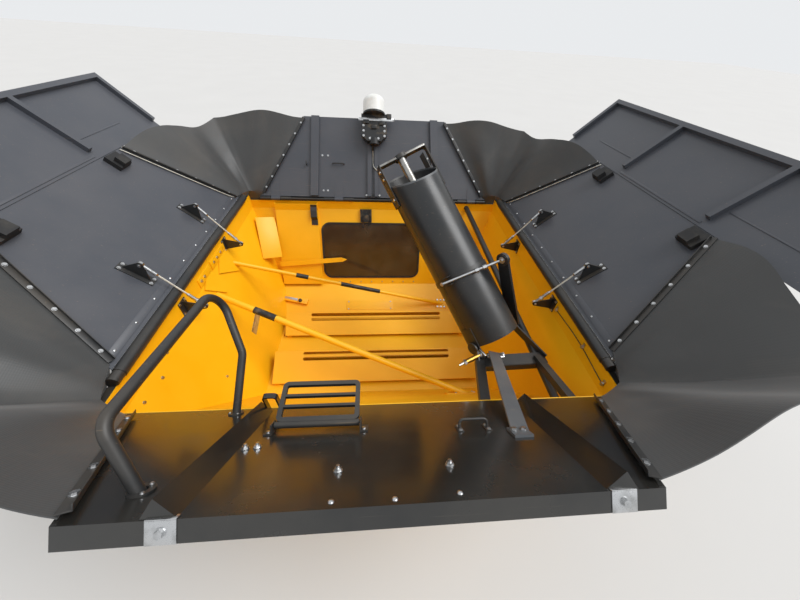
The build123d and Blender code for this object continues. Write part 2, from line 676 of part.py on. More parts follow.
def front_ribs():
    """Folded channels, open towards the flap's sheet."""
    ribs = Part()
    for foot, head, width, height, far in FRONT_RIBS:
        for half, top, turn in ((width / 2, height, 1), (width / 2 - RIB_SHEET, height - RIB_SHEET, -1)):
            outline = [(foot - half, RIB_FROM), (foot + half, RIB_FROM), (head + half, far), (head - half, far)]
            channel = prism(outline, 0, top, front_flap_plane)
            ribs = ribs + channel if turn > 0 else ribs - channel
    return ribs


FRONT_PIN_R = 12.0
KNUCKLE_R = 20.0
KNUCKLE_W = 110.0
FLAP_KNUCKLES = (-1120.0, -420.0, 420.0, 1120.0)


def knuckle(x, half):
    """Ring round the front hinge pin, from x - half to x + half."""
    ring = Circle(KNUCKLE_R) - Circle(FRONT_PIN_R + SHAFT_FIT)
    return extrude(Plane(origin=(x, *FRONT_HINGE[1:]), z_dir=(1, 0, 0)) * ring, half, both=True)


def front_straps():
    """Hinge straps of the flap, each rolled round the pin."""
    straps = Part()
    for x in FLAP_KNUCKLES:
        half = KNUCKLE_W / 2 - 6
        straps += knuckle(x, half)
        strap = [(x - half, KNUCKLE_R - 5), (x + half, KNUCKLE_R - 5), (x + half, 150), (x - half, 150)]
        straps += prism(strap, -SHEET, 4, front_flap_plane)
    return straps


def front_hinge():
    """Pin, held by leaves on the front wall's outer face between the flap's straps."""
    _, y, z = FRONT_HINGE
    hinge = tube((-FRONT_HALF_IN + 20, y, z), (FRONT_HALF_IN - 20, y, z), FRONT_PIN_R)
    for x in FLAP_KNUCKLES:
        for s in (-1, 1):
            mid = x + s * KNUCKLE_W
            low, high = mid - KNUCKLE_W / 2, mid + KNUCKLE_W / 2
            hinge += tube((low, y, z), (high, y, z), KNUCKLE_R)
            hinge += box((low, y + WALL + SEAT, z - 110), (high, y + WALL + SEAT + 6, z))
    return hinge


# rubber strip behind the front hinge, (forward of the wall, up from the tank's top edge)
SEAL_LINE = ((10.6, -145.0), (10.6, -62.0), (32.0, -30.0), (32.0, -10.0))
SEAL_T = 3.0


def front_seal():
    """Strip from the hinge leaves up to the flap's lower edge, which closes the gap round the hinge pin."""
    inner = [(HALF_Y + y, TOP_Z + z) for y, z in SEAL_LINE]
    outer = [(y + SEAL_T, z) for y, z in inner[::-1]]
    half = FRONT_HALF_IN - 20
    return prism(inner + outer, -half, half, Plane.YZ)


def front_wall_strap():
    """Cranked flat bar on the wall under the flap's left rib."""
    face = HALF_Y - DUCT_OFF - SEAT
    line = [(face, TOP_Z - FRONT_DROP - 22), (face, TOP_Z - FRONT_DROP - 45)]
    for depth, off in WALL_STRAP_BENDS:
        place = front_plane(depth).offset(off).origin - Vector(0, DUCT_OFF, 0)
        line.append((place.Y, place.Z))
    back = [(y - WALL_STRAP_T, z) for y, z in line[::-1]]
    return prism(line + back, *WALL_STRAP_X, Plane.YZ)


WALL_STRAP_X = (DUCT_X[1] - 75.0, DUCT_X[1] - 5.0)
WALL_STRAP_T = 6.0
WALL_STRAP_BENDS = ((150.0, 30.0), (215.0, 34.0), (245.0, SEAT), (300.0, SEAT))   # depth, off the slope
SENSOR_X = -118.0
SENSOR_POSTS = 55.0      # of its two posts, from its middle
SENSOR_DEPTHS = (150.0, 286.0)
SENSOR_HEAD_R = 40.0


def level_sensor():
    """Grain level sensor over the window's top edge: two posts, a round head and two prongs."""
    top, low = SENSOR_DEPTHS
    length = (low - top) / cos(SLOPE)
    plane = front_plane(top).offset(9 + SEAT)
    unit = plane * Pos(SENSOR_X, -length / 2, 6) * Box(2 * SENSOR_POSTS - 22, length, 4)
    for s in (-1, 1):
        unit += plane * Pos(SENSOR_X + s * SENSOR_POSTS, -length / 2, 6) * Box(22, length, 30)
        unit += plane * Pos(SENSOR_X + s * 35, -length - 35, 6) * Box(14, 74, 12)
    unit += plane * Pos(SENSOR_X, -length + 50, 0) * extrude(Circle(SENSOR_HEAD_R), 46)
    return unit


save("front_flap", front_flap() + front_ribs() + front_straps())
save("front_hinge", front_hinge())
save("front_seal", front_seal())
save("front_wall_strap", front_wall_strap())
save("level_sensor", level_sensor())


HOUSE_X = (-150.0, 120.0)
HOUSE_T = (FRONT_OUT - 270.0, FRONT_OUT)
HOUSE_UP = (34.0, 120.0)
DOME_R = 115.0
DOME_H = 180.0
DOME_AT = (-15.0, FRONT_OUT + SEAT, 100.0)
DOME_ROUND = 70.0


def sensor_head():
    """Bolted housing on the flap's middle ribs, and a domed cap on its top end."""
    (x0, x1), (t0, t1) = HOUSE_X, HOUSE_T
    outline = [(x0, t0 + 60), (x0 + 60, t0), (x1 - 60, t0), (x1, t0 + 60), (x1, t1), (x0, t1)]
    house = prism(outline, *HOUSE_UP, front_flap_plane)
    mid = (x0 + x1) / 2
    foot = [(mid - 60, t0 + 20), (mid + 50, t0 + 20), (mid + 50, t1 - 30), (mid - 60, t1 - 30)]
    house += prism(foot, SEAT, HOUSE_UP[0] + 1, front_flap_plane) - front_ribs_space()
    house += front_flap_plane * Pos(mid, t0 - 30, HOUSE_UP[0] + 52) * Rot(-90, 0, 0) * extrude(Circle(52), 60)
    x, t, up = DOME_AT
    cap = extrude(Circle(DOME_R), DOME_H)
    cap = fillet(cap.edges().sort_by(Axis.Z)[-1], DOME_ROUND)
    return house, front_flap_plane * Pos(x, t, up) * Rot(-90, 0, 0) * cap


def front_ribs_space():
    """Room for the middle ribs under the housing."""
    room = Part()
    for foot, head, width, height, far in FRONT_RIBS[1:3]:
        half = width / 2 + SEAT
        end = far + SEAT
        outline = [(foot - half, RIB_FROM), (foot + half, RIB_FROM), (head + half, end), (head - half, end)]
        room += prism(outline, -1, height + SEAT, front_flap_plane)
    return room


house, dome = sensor_head()
save("sensor_housing", house)
save("sensor_dome", dome)

# filling auger: tube, screw, head frame

auger_axis = Vector(cos(radians(AUGER_UP)) * cos(radians(AUGER_HEADING)),
                    cos(radians(AUGER_UP)) * sin(radians(AUGER_HEADING)), sin(radians(AUGER_UP)))
pivot_axis = Vector(sin(radians(AUGER_HEADING)), -cos(radians(AUGER_HEADING)), 0)
auger_plane = Plane(origin=PIVOT, x_dir=pivot_axis, z_dir=auger_axis)


MOUTH_Z = 24.0           # lower bearing's place along the tube
EAR = TUBE_R + 22.0      # the stand's ears, out from the tube's axis
EAR_T = 12.0
LEVER_LATERAL = 262.0    # the lever arm's boss, out from the tube's axis
LEVER_T = 20.0


SADDLE_T = 6.0
SADDLE_HALF = 50.0       # half width of a saddle round the tube
SADDLE_ALONG = (-24.0, 150.0)


def auger_tube():
    """Tube with a slanted mouth."""
    full = extrude(Circle(TUBE_R) - Circle(TUBE_R - TUBE_WALL), TUBE_LENGTH + TUBE_R)
    mouth = Plane(origin=(0, 0, TUBE_LENGTH), z_dir=MOUTH_SLANT)
    return auger_plane * split(full, bisect_by=mouth, keep=Keep.BOTTOM)


def auger_trunnions():
    """A curved saddle on each side of the tube's lower end, with the stub shaft that it swings on."""
    low, high = SADDLE_ALONG
    inside = TUBE_R + SEAT
    pair = Part()
    for s, reach in ((-1, EAR + EAR_T / 2 + 4), (1, LEVER_LATERAL + LEVER_T / 2 + 2)):
        skin = Pos(0, 0, low) * extrude(Circle(inside + SADDLE_T) - Circle(inside), high - low)
        pair += skin & Pos(s * inside, 0, (low + high) / 2) * Box(inside, 2 * SADDLE_HALF, high - low)
        stub = Rot(0, s * 90, 0) * extrude(Circle(TRUNNION_R), reach)
        pair += stub - Pos(0, 0, low) * extrude(Circle(inside), high - low)
    return auger_plane * pair


def auger_lower_bearing():
    """Bar across the tube's lower end with the screw's bearing in its middle."""
    cross = Pos(0, 0, MOUTH_Z) * (Box(2 * TUBE_R, 50, 10) + Cylinder(SHAFT_R + 16, 24))
    cross = cross & extrude(Circle(TUBE_R - TUBE_WALL - SEAT), TUBE_LENGTH)
    return auger_plane * (cross - extrude(Circle(SHAFT_R + SHAFT_FIT), 2 * MOUTH_Z))


save("auger_tube", auger_tube())
save("auger_trunnions", auger_trunnions())
save("auger_lower_bearing", auger_lower_bearing())
SCREW_R = TUBE_R - TUBE_WALL - 8
SCREW_PITCH = 330.0
SCREW_TURNS = 3.6
SCREW_FROM = 60.0
HEAD_OUT = 160.0         # the head bow's cross bar stands this far past the mouth's middle
HEAD_TURN = -28.0        # of the bow about the tube's axis
HEAD_W, HEAD_BAR = 60.0, 10.0
HEAD_LEG = 170.0         # of the bow along the tube's outside
screw_after = TUBE_LENGTH + HEAD_OUT + 20 - SCREW_FROM - SCREW_PITCH * SCREW_TURNS
auger_wound = screw(SCREW_R, SHAFT_R, SCREW_PITCH, SCREW_TURNS, 5, SCREW_FROM - 8, screw_after)
save("auger_screw", auger_plane * Pos(0, 0, SCREW_FROM) * auger_wound)


def head_frame():
    """Bow of flat bar over the tube's mouth that carries the screw's outer bearing."""
    inside = TUBE_R + SEAT
    low, high = TUBE_LENGTH - HEAD_LEG, TUBE_LENGTH + HEAD_OUT
    tall = 2 * (high - low)
    ring = RectangleRounded(2 * (inside + HEAD_BAR), tall + 2 * HEAD_BAR, 30)
    ring -= RectangleRounded(2 * inside, tall, 20)
    bow = Pos(0, 0, low) * extrude(Plane.XZ * ring, HEAD_W / 2, both=True)
    bow = bow & Pos(0, 0, low + high) * Box(4 * TUBE_R, HEAD_W, 2 * high)
    bow += Pos(0, 0, high - 10) * extrude(Circle(SHAFT_R + 18), 30)
    bow -= extrude(Circle(SHAFT_R + SHAFT_FIT), 2 * TUBE_LENGTH)
    return auger_plane * Rot(0, 0, HEAD_TURN) * bow


save("auger_head_frame", head_frame())


SIDE_RAIL = ((HALF_X - 321, HALF_Y + 20, TOP_Z - 108), (HALF_X - 198, -HALF_Y, TOP_Z - 321))
SIDE_RAIL_R = 28.0
BEAM_A = (PIVOT[0] + 351.0, PIVOT[1] - 195.0, PIVOT[2] - 30.0)
BEAM_B = (PIVOT[0] - 159.0, PIVOT[1] - 215.0, PIVOT[2] - 30.0)
BEAM_W, BEAM_T, BEAM_FOLD = 92.0, 8.0, 60.0
LEVER_HEAD = Vector(PIVOT[0] - 4.0, PIVOT[1] + 220.0, TOP_Z + 330.0)


def auger_stand():
    """Two ears on a folded cross plate, with legs to the rear wall's top edge."""
    stand = bar(BEAM_A, BEAM_B, BEAM_W, BEAM_T)
    fold = [(x, y - BEAM_W / 2, z - BEAM_FOLD / 2) for x, y, z in (BEAM_A, BEAM_B)]
    stand += bar(*fold, BEAM_T, BEAM_FOLD)
    for s, end in ((1, BEAM_A), (-1, BEAM_B)):
        ear = Vector(*PIVOT) + pivot_axis * (s * EAR)
        at_ear = Plane(origin=ear, x_dir=(-pivot_axis.Y, pivot_axis.X, 0), z_dir=pivot_axis)
        stand += extrude(at_ear * (Circle(45) - Circle(TRUNNION_R + SHAFT_FIT)), EAR_T / 2, both=True)
        start = ear + pivot_axis.cross(Vector(0, 0, 1)) * 35
        stand += bar(tuple(start), end, EAR_T, BEAM_FOLD)
    rear = -HALF_Y - 20
    stand += bar((BEAM_A[0] - 65, BEAM_A[1], BEAM_A[2]), (BEAM_A[0] - 60, rear, TOP_Z - 100), 50, 50)
    stand += bar((BEAM_B[0] + 10, BEAM_B[1], BEAM_B[2]), (BEAM_B[0] - 105, rear, TOP_Z - 100), 62, 40)
    return stand & tank_space - tube(*SIDE_RAIL, SIDE_RAIL_R + SEAT)


LEG_W, LEG_T = 77.0, 10.0
LEG_FOOT = (REAR_HALF_OUT - 233.0, 445.0)
LEG_TOP = (BEAM_B[0] + 120.0, BEAM_B[1] + 45.0, BEAM_B[2] + 40.0)
LEG_BOLTS = ((-20.0, -22.0), (20.0, -22.0))


def auger_leg():
    """Flat bar from the stand over the tank's rear edge to a bolted foot on the rear panel."""
    x, t = LEG_FOOT
    leg = bar(rear_point(x, t, 0), LEG_TOP, LEG_W, LEG_T)
    foot = rear_plane * Pos(-x, t - 10, SEAT + LEG_T / 2) * Box(LEG_W, 80, LEG_T)
    for across, up in LEG_BOLTS:
        foot -= rear_plane * Pos(-x + across, t + up, 0) * extrude(Circle(7), 4 * LEG_T)
    return leg + foot - below_rear


BOSS_R, HEAD_R, HEAD_T = 58.0, 46.0, 26.0
STRAP_AT, STRAP_W = 525.0, 44.0
STRAP_EYE = (-274.0, 105.0)     # the link rod's lower end, from the tube's axis
ROD_R, LUG_R = 9.0, 8.0
auger_up = pivot_axis.cross(auger_axis)


def lever_head(gap=0.0):
    """Round head of the lever arm, square to the pivot."""
    disc = Plane(origin=LEVER_HEAD, z_dir=pivot_axis) * Circle(HEAD_R + gap)
    return extrude(disc, HEAD_T / 2 + gap, both=True)


def lever_arm():
    """Blade from a boss on the right trunnion up to a round head beside the tube."""
    boss = Vector(*PIVOT) + pivot_axis * LEVER_LATERAL
    reach = LEVER_HEAD - boss
    lean = pivot_axis - reach * (pivot_axis.dot(reach) / reach.length ** 2)
    outline = make_hull([*Circle(BOSS_R).edges(), *(Pos(reach.length, 0) * Circle(HEAD_R - 4)).edges()])
    arm = extrude(Plane(origin=boss, x_dir=reach, z_dir=lean) * outline, LEVER_T / 2, both=True)
    at_boss = Plane(origin=boss, z_dir=pivot_axis)
    arm += extrude(at_boss * Circle(BOSS_R), LEVER_T / 2, both=True) + lever_head()
    return arm - extrude(at_boss * Circle(TRUNNION_R + SEAT), 4 * LEVER_T, both=True)


rod_low = Vector(*PIVOT) + auger_axis * STRAP_AT + pivot_axis * STRAP_EYE[0] + auger_up * STRAP_EYE[1]


def strap_lug(radius):
    """Peg that stands off the band and carries the link rod's lower end."""
    centre = Vector(*PIVOT) + auger_axis * STRAP_AT
    outward = (rod_low - centre).normalized()
    return tube(tuple(centre + outward * (TUBE_R + 2)), tuple(rod_low + outward * 14), radius)


def auger_strap():
    """Clamp band round the auger tube, with a lug for the link rod."""
    band = Circle(TUBE_R + SEAT + 6) - Circle(TUBE_R + SEAT)
    strap = extrude(auger_plane.offset(STRAP_AT) * band, STRAP_W / 2, both=True)
    return strap + strap_lug(LUG_R)


def link_rod():
    """Straight rod from the strap's peg to the lever arm's head."""
    return tube(tuple(rod_low), tuple(LEVER_HEAD), ROD_R) - strap_lug(LUG_R + SEAT) - lever_head(SEAT)


save("auger_strap", auger_strap())
save("auger_stand", auger_stand())
save("auger_leg", auger_leg())
save("lever_arm", lever_arm())
save("link_rod", link_rod())
save("side_rail", tube(*SIDE_RAIL, SIDE_RAIL_R, 4.0) & tank_space)

# rubber corner gussets, each a folded sheet between a side flap and an end panel

GUSSET = 5.0             # along the direction that all the triangles are thickened in


def folded_sheet(corner, edge, inward):
    """Triangles from one corner to a line of edge points, all thickened along the same direction."""
    solid = Part()
    for a, b in zip(edge, edge[1:]):
        solid += extrude(make_face(Polyline(corner, a, b, close=True)), GUSSET, dir=inward)
    return solid


def front_flap_point(x, t, up):
    local = front_flap_plane.from_local_coords(Vector(x, t, up))
    return (local.X, local.Y, local.Z)


EDGE_UP = 0.5            # gusset edges above the sheet that they lie on
GUSSET_CORNER = (HALF_X - 25, HALF_Y - 40, TOP_Z + 65.0)
side_edge = [flap_point(60, PANEL_HALF_IN - 25, EDGE_UP), flap_point(860, PANEL_HALF_OUT + 11, EDGE_UP)]
front_edge = [front_flap_point(FRONT_HALF_OUT + 6, FRONT_OUT - 20, EDGE_UP),
              front_flap_point(FRONT_HALF_IN - 32, 60, EDGE_UP)]
rear_edge = [rear_point(REAR_HALF_OUT, REAR_OUT - 20, EDGE_UP), rear_point(REAR_HALF_IN - 41, 60, EDGE_UP)]
FRONT_FOLD = (HALF_X + 220.0, HALF_Y + 238.0, TOP_Z + 680.0)
REAR_FOLD = (HALF_X + 450.0, -HALF_Y - 288.0, TOP_Z + 640.0)


def opposite(point):
    """Same place at the rear of the side flap."""
    x, y, z = point
    return (x, -y, z)


front_gusset = folded_sheet(GUSSET_CORNER, side_edge + [FRONT_FOLD] + front_edge, Vector(-1, -1, 1))
rear_gusset = folded_sheet(opposite(GUSSET_CORNER), [opposite(q) for q in side_edge] + [REAR_FOLD] + rear_edge,
                           Vector(-1, 1, 1))
for side, put in (("right", lambda solid: solid), ("left", mirrored)):
    save(f"front_{side}_gusset", put(front_gusset))
    save(f"rear_{side}_gusset", put(rear_gusset))
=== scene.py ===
"""Looks of a combine harvester's grain tank: finishes, fasteners, gussets and stays over the CAD frame.

Everything is in metres in the frame of the CAD: +X to the machine's right, +Y forward, +Z up.
"""
import math

import bmesh
import bpy
from mathutils import Matrix, Vector, noise


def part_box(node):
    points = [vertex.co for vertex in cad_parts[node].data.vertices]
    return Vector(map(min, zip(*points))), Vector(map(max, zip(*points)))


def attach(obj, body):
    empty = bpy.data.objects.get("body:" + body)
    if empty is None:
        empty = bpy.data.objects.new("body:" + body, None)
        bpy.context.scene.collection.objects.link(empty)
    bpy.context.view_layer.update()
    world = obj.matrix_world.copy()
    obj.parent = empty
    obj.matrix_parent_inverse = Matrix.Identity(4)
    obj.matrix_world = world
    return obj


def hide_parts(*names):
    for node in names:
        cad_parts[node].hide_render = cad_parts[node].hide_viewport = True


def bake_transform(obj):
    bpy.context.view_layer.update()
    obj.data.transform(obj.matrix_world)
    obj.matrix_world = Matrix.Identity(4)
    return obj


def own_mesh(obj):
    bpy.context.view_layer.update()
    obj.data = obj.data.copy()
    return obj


bl_info = {
    "name": "Grain tank dressing", "version": (1, 0, 0), "blender": (4, 5, 0),
    "location": "3D View > Sidebar > Grain tank",
    "description": "Finishes, fasteners, gussets and stays of a grain tank with a folding roof",
    "category": "Object",
}

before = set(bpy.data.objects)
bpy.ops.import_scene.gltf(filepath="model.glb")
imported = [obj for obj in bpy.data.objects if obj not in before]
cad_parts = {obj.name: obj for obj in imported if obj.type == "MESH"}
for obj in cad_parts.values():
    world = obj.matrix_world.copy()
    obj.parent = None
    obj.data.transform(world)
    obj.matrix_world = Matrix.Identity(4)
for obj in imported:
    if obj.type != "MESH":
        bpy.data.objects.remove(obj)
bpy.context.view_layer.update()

# places that the CAD gives: hinge lines, slopes and the raised auger
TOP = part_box("rear_wall")[1].z
HALF_X = 1.400
HALF_Y = 1.262
SIDE_HINGE_Z = TOP + 0.040
FRONT_HINGE_Z = TOP - 0.035
REAR_FACE_Y = -1.2663
FRONT_SLOPE = math.radians(55)
PIVOT = Vector((0.874, -0.620, 1.280))
HEADING = math.radians(125.1)
RISE = math.radians(38.5)
TUBE_R = 0.200
TUBE_LENGTH = 1.365
BAND = 0.150
SIDE_LEAN = (0.320, 1.050)      # run and fall of the walls' slopes
FRONT_LEAN = (0.352, 0.850)
REAR_LEAN = (0.762, 1.050)
LEDGE_FALL = (0.200, 0.410)
LEDGE_Y, LEDGE_DEPTH = HALF_Y - FRONT_LEAN[0], BAND + FRONT_LEAN[1]      # where the ledge starts
FRONT_BRACE = (Vector((-HALF_X, 0.358, TOP - 0.250)), Vector((0.840, 0.664, TOP - 1.131)))
REAR_BRACE = (Vector((-HALF_X, -0.052, TOP - 0.285)), Vector((0.840, -0.757, TOP - 0.900)))
LEVER_HEAD = Vector((0.870, -0.400, TOP + 0.330))
C45 = math.sqrt(0.5)

AUGER_ALONG = Vector((
    math.cos(RISE) * math.cos(HEADING), math.cos(RISE) * math.sin(HEADING), math.sin(RISE)))
AUGER_SIDE = Vector((math.sin(HEADING), -math.cos(HEADING), 0))
AUGER_UP = AUGER_SIDE.cross(AUGER_ALONG)
FRONT_NORMAL = Vector((0, -math.sin(FRONT_SLOPE), math.cos(FRONT_SLOPE)))
REAR_NORMAL = Vector((0, C45, C45))
FRONT_UP = Vector((0, math.cos(FRONT_SLOPE), math.sin(FRONT_SLOPE)))
LIP_NORMAL = Vector((0, -C45, C45))
SIDES = (("right", 1), ("left", -1))


def on_flap(side, s, y, up=0.0):
    """Point on a side flap, s out from its hinge line and up off its inner face."""
    return Vector((side * (HALF_X + (s - up) * C45), y, SIDE_HINGE_Z + (s + up) * C45))


def flap_normal(side):
    """Normal of a side flap's inner face, up and towards the middle."""
    return Vector((-side * C45, 0, C45))


def on_front(x, t, up=0.0):
    """Point on the front flap, t up its slope."""
    c, s = math.cos(FRONT_SLOPE), math.sin(FRONT_SLOPE)
    return Vector((x, HALF_Y + t * c - up * s, FRONT_HINGE_Z + t * s + up * c))


def on_rear(x, t, up=0.0):
    """Point on the rear panel, t up its slope."""
    return Vector((x, REAR_FACE_Y - (t - up) * C45, TOP + (t + up) * C45))


def on_left_wall(y, depth, up=0.0):
    """Point on the left wall: on its upright band, or on the slope under that."""
    lean = math.atan2(*SIDE_LEAN) if depth > BAND else 0.0
    x = HALF_X - max(0.0, depth - BAND) * math.tan(lean) - up * math.cos(lean)
    return Vector((-x, y, TOP - depth + up * math.sin(lean)))


def on_front_wall(x, depth, up=0.0):
    """Point on the front wall's slope."""
    lean = math.atan2(*FRONT_LEAN)
    y = HALF_Y - (depth - BAND) * math.tan(lean) - up * math.cos(lean)
    return Vector((x, y, TOP - depth + up * math.sin(lean)))


def on_ledge(x, y, up=0.0):
    """Point on the front wall's shallow foot."""
    fall = math.atan2(*LEDGE_FALL)
    z = TOP - LEDGE_DEPTH - (LEDGE_Y - y) * math.tan(fall) + up * math.cos(fall)
    return Vector((x, y - up * math.sin(fall), z))


def on_auger(along, side=0.0, up=0.0):
    """Point in the raised auger's own directions, from its pivot."""
    return PIVOT + AUGER_ALONG * along + AUGER_SIDE * side + AUGER_UP * up


def placed(origin, z, x=(1, 0, 0)):
    """Matrix at origin whose Z axis is z and whose X axis leans towards x."""
    z = Vector(z).normalized()
    y = z.cross(Vector(x))
    if y.length < 1e-4:
        y = z.cross(Vector((0, 1, 0.3)))
    y.normalize()
    matrix = Matrix((y.cross(z), y, z)).transposed().to_4x4()
    matrix.translation = origin
    return matrix


# shapes, each added to a bmesh


def add_block(bm, point, normal, size, along=(1, 0, 0), edge=0.001):
    """Block with rounded edges about a point; its length runs along and its height up the normal."""
    matrix = placed(point, normal, along) @ Matrix.Diagonal((*size, 1))
    made = bmesh.ops.create_cube(bm, size=1, matrix=matrix)
    edges = list({e for v in made["verts"] for e in v.link_edges})
    bmesh.ops.bevel(bm, geom=edges, offset=edge, segments=2, profile=0.5, affect="EDGES", material=-1)


def add_disc(bm, matrix, radius, depth, segments=12, top=None):
    """Disc, cone or hexagon that stands on the matrix's XY plane."""
    bmesh.ops.create_cone(
        bm, cap_ends=True, segments=segments, radius1=radius, radius2=radius if top is None else top,
        depth=depth, matrix=matrix @ Matrix.Translation((0, 0, depth / 2)))


def add_rod(bm, start, end, radius, segments=12, top=None):
    along = Vector(end) - Vector(start)
    add_disc(bm, placed(start, along, (0, 1, 0.2)), radius, along.length, segments, top)


def add_blade(bm, start, end, normal, widths, thickness):
    """Flat bar from start to end that narrows from the first width to the second."""
    made = bmesh.ops.create_cube(bm, size=1)
    along = Vector(end) - Vector(start)
    for vert in made["verts"]:
        vert.co.y *= widths[0] if vert.co.x < 0 else widths[1]
    size = Matrix.Diagonal((along.length, 1, thickness, 1))
    matrix = placed(Vector(start) + along / 2, normal, along) @ size
    bmesh.ops.transform(bm, matrix=matrix, verts=made["verts"])


def add_bolt(bm, point, normal, size, shank=0.0):
    """Hexagon head on a washer; size is the thread's diameter."""
    matrix = placed(point, normal)
    add_disc(bm, matrix, size * 1.1, size * 0.2)
    add_disc(bm, matrix @ Matrix.Translation((0, 0, size * 0.2)), size * 0.92, size * 0.55, 6, size * 0.86)
    if shank:
        add_disc(bm, matrix @ Matrix.Translation((0, 0, size * 0.75)), size * 0.5, shank, 8)


def add_rivet(bm, point, normal, radius):
    """Low domed head in two rings."""
    matrix = placed(point, normal)
    add_disc(bm, matrix, radius, radius * 0.35, 10, radius * 0.85)
    upper = matrix @ Matrix.Translation((0, 0, radius * 0.35))
    add_disc(bm, upper, radius * 0.85, radius * 0.25, 10, radius * 0.4)


def add_wire(bm, points, radius):
    """Round wire or cable on a smooth curve that starts and ends at the first and last point."""
    curve = bpy.data.curves.new("wire", "CURVE")
    curve.dimensions = "3D"
    curve.bevel_depth = radius
    curve.use_fill_caps = True
    spline = curve.splines.new("NURBS")
    spline.points.add(len(points) - 1)
    for point, place in zip(spline.points, points):
        point.co = (*place, 1)
    spline.order_u = 3
    spline.use_endpoint_u = True
    holder = bpy.data.objects.new("wire", curve)
    mesh = bpy.data.meshes.new_from_object(holder)
    bm.from_mesh(mesh)
    bpy.data.objects.remove(holder)
    bpy.data.curves.remove(curve)
    bpy.data.meshes.remove(mesh)


SHARP_ANGLE = math.radians(35)      # edges sharper than this aren't smoothed


def piece(name, bm, finish, body=None):
    """Turns a bmesh into an object with a finish, which moves with a body of the frame."""
    mesh = bpy.data.meshes.new(name)
    bm.to_mesh(mesh)
    bm.free()
    mesh.polygons.foreach_set("use_smooth", [True] * len(mesh.polygons))
    mesh.set_sharp_from_angle(angle=SHARP_ANGLE)
    mesh.materials.append(bpy.data.materials[finish])
    obj = bpy.data.objects.new(name, mesh)
    bpy.context.scene.collection.objects.link(obj)
    if body:
        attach(obj, body)
    return obj


# finishes


def linear(code):
    """Linear colour of an sRGB hex code."""
    parts = [int(code[i:i + 2], 16) / 255 for i in (1, 3, 5)]
    return tuple(p / 12.92 if p <= 0.04045 else ((p + 0.055) / 1.055) ** 2.4 for p in parts)


def add(tree, kind, inputs=None, **settings):
    """Adds one shader node; inputs are values, sockets, or nodes that are linked by their first output."""
    made = tree.nodes.new("ShaderNode" + kind)
    for key, value in settings.items():
        setattr(made, key, value)
    for key, value in (inputs or {}).items():
        if isinstance(value, bpy.types.Node):
            value = value.outputs[0]
        if isinstance(value, bpy.types.NodeSocket):
            tree.links.new(value, made.inputs[key])
        else:
            made.inputs[key].default_value = value
    return made


def new_tree(owner):
    """Empty node tree of a new material or world."""
    owner.use_nodes = True
    owner.node_tree.nodes.clear()
    return owner.node_tree


def surface(tree, inputs):
    """Ends a material's tree with its shader and output."""
    add(tree, "OutputMaterial", {"Surface": add(tree, "BsdfPrincipled", inputs)})


FACTOR, FIRST, SECOND, MIXED = 0, 6, 7, 2       # sockets of a Mix node between colours
SCUFF_TURN, SCUFF_SCALE = (0.3, 0.5, 0.9), (3.5, 120.0, 120.0)


def mixed(tree, share, *colours):
    """Mixes two colours, each three numbers or a socket."""
    first, second = (c if isinstance(c, bpy.types.NodeSocket) else (*c, 1) for c in colours)
    made = add(tree, "Mix", {FACTOR: share, FIRST: first, SECOND: second}, data_type="RGBA")
    return made.outputs[MIXED]


def ranged(tree, value, source=(0, 1), target=(0, 1), **settings):
    """Brings a value from its source range to its target range."""
    ends = dict(zip(("From Min", "From Max", "To Min", "To Max"), (*source, *target)))
    return add(tree, "MapRange", {"Value": value, **ends}, **settings)


def bumped(tree, height, strength, distance):
    """Relief whose full height stands for the distance."""
    return add(tree, "Bump", {"Height": height, "Strength": strength, "Distance": distance})


def clouded(tree, pattern, source, most, *colours):
    """Coordinates, a broad noise, and the colour that it mixes from two in patches."""
    place = add(tree, "TexCoord").outputs
    cloud = add(tree, "TexNoise", {"Vector": place["Object"], **pattern})
    return place, cloud, mixed(tree, ranged(tree, cloud, source, (0, most)), *colours)


def coated_steel(name, colour, dust, roughness, dust_share, coat=0.0, peel=0.3):
    """Powder coat: even and satin, with a faint orange peel, dust on what faces up and thin scuffs."""
    tree = new_tree(bpy.data.materials.new(name))
    place = add(tree, "TexCoord").outputs
    broad = add(
        tree, "TexNoise", {"Vector": place["Object"], "Scale": 2.2, "Detail": 6.0, "Roughness": 0.62})
    # orange peel is 2 to 4 mm across; it is drawn at 9 mm, so that it shows
    grain = add(tree, "TexNoise", {"Vector": place["Object"], "Scale": 110.0, "Detail": 2.0})
    # scuffs a few millimetres wide and some 20 cm long, run off level
    turned = add(tree, "Mapping", {"Vector": place["Object"], "Rotation": SCUFF_TURN, "Scale": SCUFF_SCALE})
    scuff = add(tree, "TexNoise", {"Vector": turned, "Scale": 1.0, "Detail": 3.0})
    facing = add(tree, "SeparateXYZ", {"Vector": place["Normal"]})
    upward = ranged(tree, facing.outputs["Z"], (-0.1, 1), (0, dust_share), interpolation_type="SMOOTHSTEP")
    patches = ranged(tree, broad, (0.35, 0.72))
    dusty = add(tree, "Math", {0: upward, 1: patches}, operation="MULTIPLY")
    shade = mixed(tree, patches, [c * 0.95 for c in colour], [min(1.0, c * 1.05) for c in colour])
    marked = mixed(tree, ranged(tree, scuff, (0.66, 0.82), (0, 0.30)), shade, dust)
    surface(tree, {
        "IOR": 1.5, "Coat Weight": coat, "Coat Roughness": 0.12,
        "Base Color": mixed(tree, dusty, marked, dust),
        "Roughness": ranged(tree, broad, (0.3, 0.75), (roughness - 0.06, roughness + 0.12)),
        "Normal": bumped(tree, grain, peel, 0.0004)})


